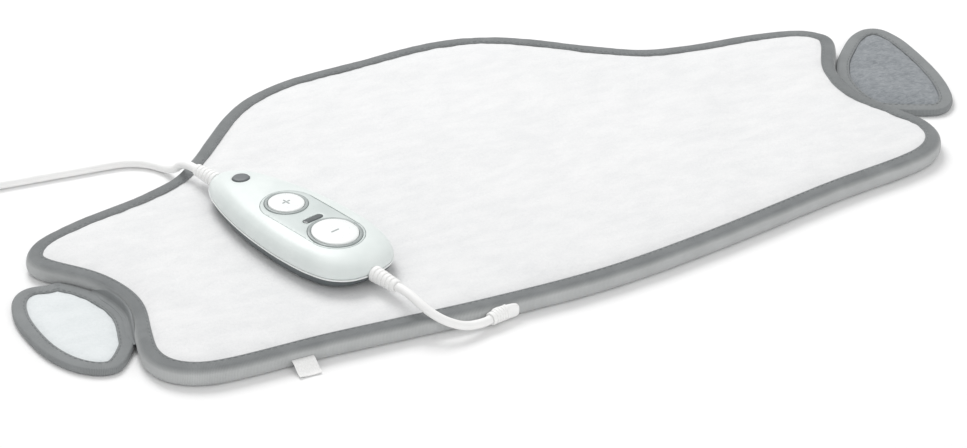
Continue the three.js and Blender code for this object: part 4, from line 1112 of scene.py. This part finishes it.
# Plug and tie
def plug():
    """Flat plug: superelliptic sections that narrow to a grooved boot, and a sleeve round each pin."""
    length, wide, half_height, count = 36, 35.3, 6.85, 72
    rows = []
    for along, width in catmull([(0, 0.36), (0.16, 0.5), (0.5, 0.5), (0.72, 0.5), (1, 0.26)], False, 8):
        x = along * length
        lead = min(x, length - x, 2.2) / 2.2
        round_off = 1 - 0.13 * (1 - lead) ** 2
        grip = 0.35 * (0.5 + 0.5 * math.cos(x * 2.4)) if 12 < x < 26 else 0
        half_across = min(width, 0.5) * wide * round_off - grip
        y, z = superellipse(count, half_across, half_height * round_off, 2 / 4.2)
        rows.append(np.stack([np.full(count, x), y, z + half_height], 1))
    body = (np.vstack(rows), capped(len(rows), count))
    profile = [(5.2, 34)]
    profile += grooves(length, 20, 5.2, 3.9, 6, [(0.05, -0.75), (-0.7, -0.55), (-0.7, 0.4), (0, 0.6)])
    profile += [(3.9, 55.6), (3.6, 56)]
    vertices, faces = lathe(profile, 40)
    vertices, faces = joined(body, (vertices + [0, 0, half_height], faces))
    place = (-374, 20, 0)
    piece = add_piece("plug_moulding", to_frame(vertices, 90, place), faces, smooth_angle=45)
    pieces = [dress(piece, "cord_rubber", "plug_body")]
    for k, side in enumerate((-1, 1)):
        vertices, faces = lathe([(1.9, -1.6), (2.05, -2), (2.05, -9.6), (1.95, -10)], 32)
        vertices = to_frame(vertices + [0, side * 9.3, half_height], 90, place)
        made = add_piece(f"plug_pin_sleeve_{k + 1}", vertices, faces)
        pieces.append(dress(made, "cord_rubber", material=sleeve))
    return pieces


plug_pieces = plug()


def tie():
    """Flat strap round the coil's section."""
    clear = cord_radius + 0.3
    low, high = coil_low - clear, coil_low + coil_rise + clear
    inner, outer = coil_inner - clear, coil_outer + clear
    corner = 1.6
    rows = []
    for y, margin in ((-2.5, 0.45), (-2.2, 0.6), (2.2, 0.6), (2.5, 0.45), (2.5, 0.15), (2.2, 0), (-2.2, 0),
                      (-2.5, 0.15)):
        row = []
        for x, z, start in ((outer - corner, high - corner, 0), (inner + corner, high - corner, 90),
                            (inner + corner, low + corner, 180), (outer - corner, low + corner, 270)):
            for a in np.radians(np.linspace(start, start + 90, 7)):
                row.append((x + (corner + margin) * math.cos(a), y, z + (corner + margin) * math.sin(a)))
        rows.append(row)
    vertices, faces, _ = sweep(np.array(rows), True, True)
    vertices = to_frame(vertices, -30, (*coil_centre, 0))
    vertices[:, 2] = np.clip(vertices[:, 2], 0.0, None)
    piece = add_piece("coil_tie_strap", vertices, faces, smooth_angle=50)
    return dress(piece, "label_tape", "coil_tie")


tie_strap = tie()

# CAD nodes that stay as they are
kept = {
    "wadding": ("lower_wadding", "upper_wadding", "wire_carrier"),
    "wire_sheath": ("heating_wire",),
    "dark_plastic": ("overheat_limiter_1", "overheat_limiter_2"),
    "board_laminate": ("circuit_board",),
    "black_plastic": ("power_switching_device", "control_chip", *(f"{key}_switch" for key in keys)),
    "ring_plastic": ("film_capacitor",),
    "key_white": ("status_lamp", *(f"{key}_plunger" for key in keys)),
    "steel": ("fuse", *(f"housing_screw_{k}" for k in range(1, 5)), "plug_pin_1", "plug_pin_2"),
}
for slot, names in kept.items():
    for name in names:
        for place in cad[name].material_slots:
            place.material = materials[slot]

# Floor and light
floor_mesh = bpy.data.meshes.new("floor")
floor_mesh.from_pydata([(-8, -8, 0), (8, -8, 0), (8, 8, 0), (-8, 8, 0)], [], [(0, 1, 2, 3)])
floor = in_scene("floor", floor_mesh)
floor.location.z = -0.0001
paper = Finish("paper_floor", 0.9, Specular_IOR_Level=0.1)
paper.colour(paper.blend(paper.noise(3, 2), (250, 250, 250), (252, 252, 252)))
floor.data.materials.append(paper.material)

world = bpy.data.worlds.new("studio")
bpy.context.scene.world = world
world.use_nodes = True
background = world.node_tree.nodes["Background"].inputs
background["Color"].default_value = (1, 1, 1, 1)
background["Strength"].default_value = 0.66


def area_light(name, place, target, size, watts):
    lamp = bpy.data.lights.new(name, "AREA")
    lamp.shape = "DISK"
    lamp.size = size
    lamp.energy = watts
    aimed(name, lamp, place, target)


area_light("key", (0.15, 1.4, 1.85), (-0.05, 0, 0), size=1.3, watts=29)
area_light("fill", (-0.2, -2.4, 1.1), (0, 0, 0), size=1.8, watts=11)

bpy.context.view_layer.update()
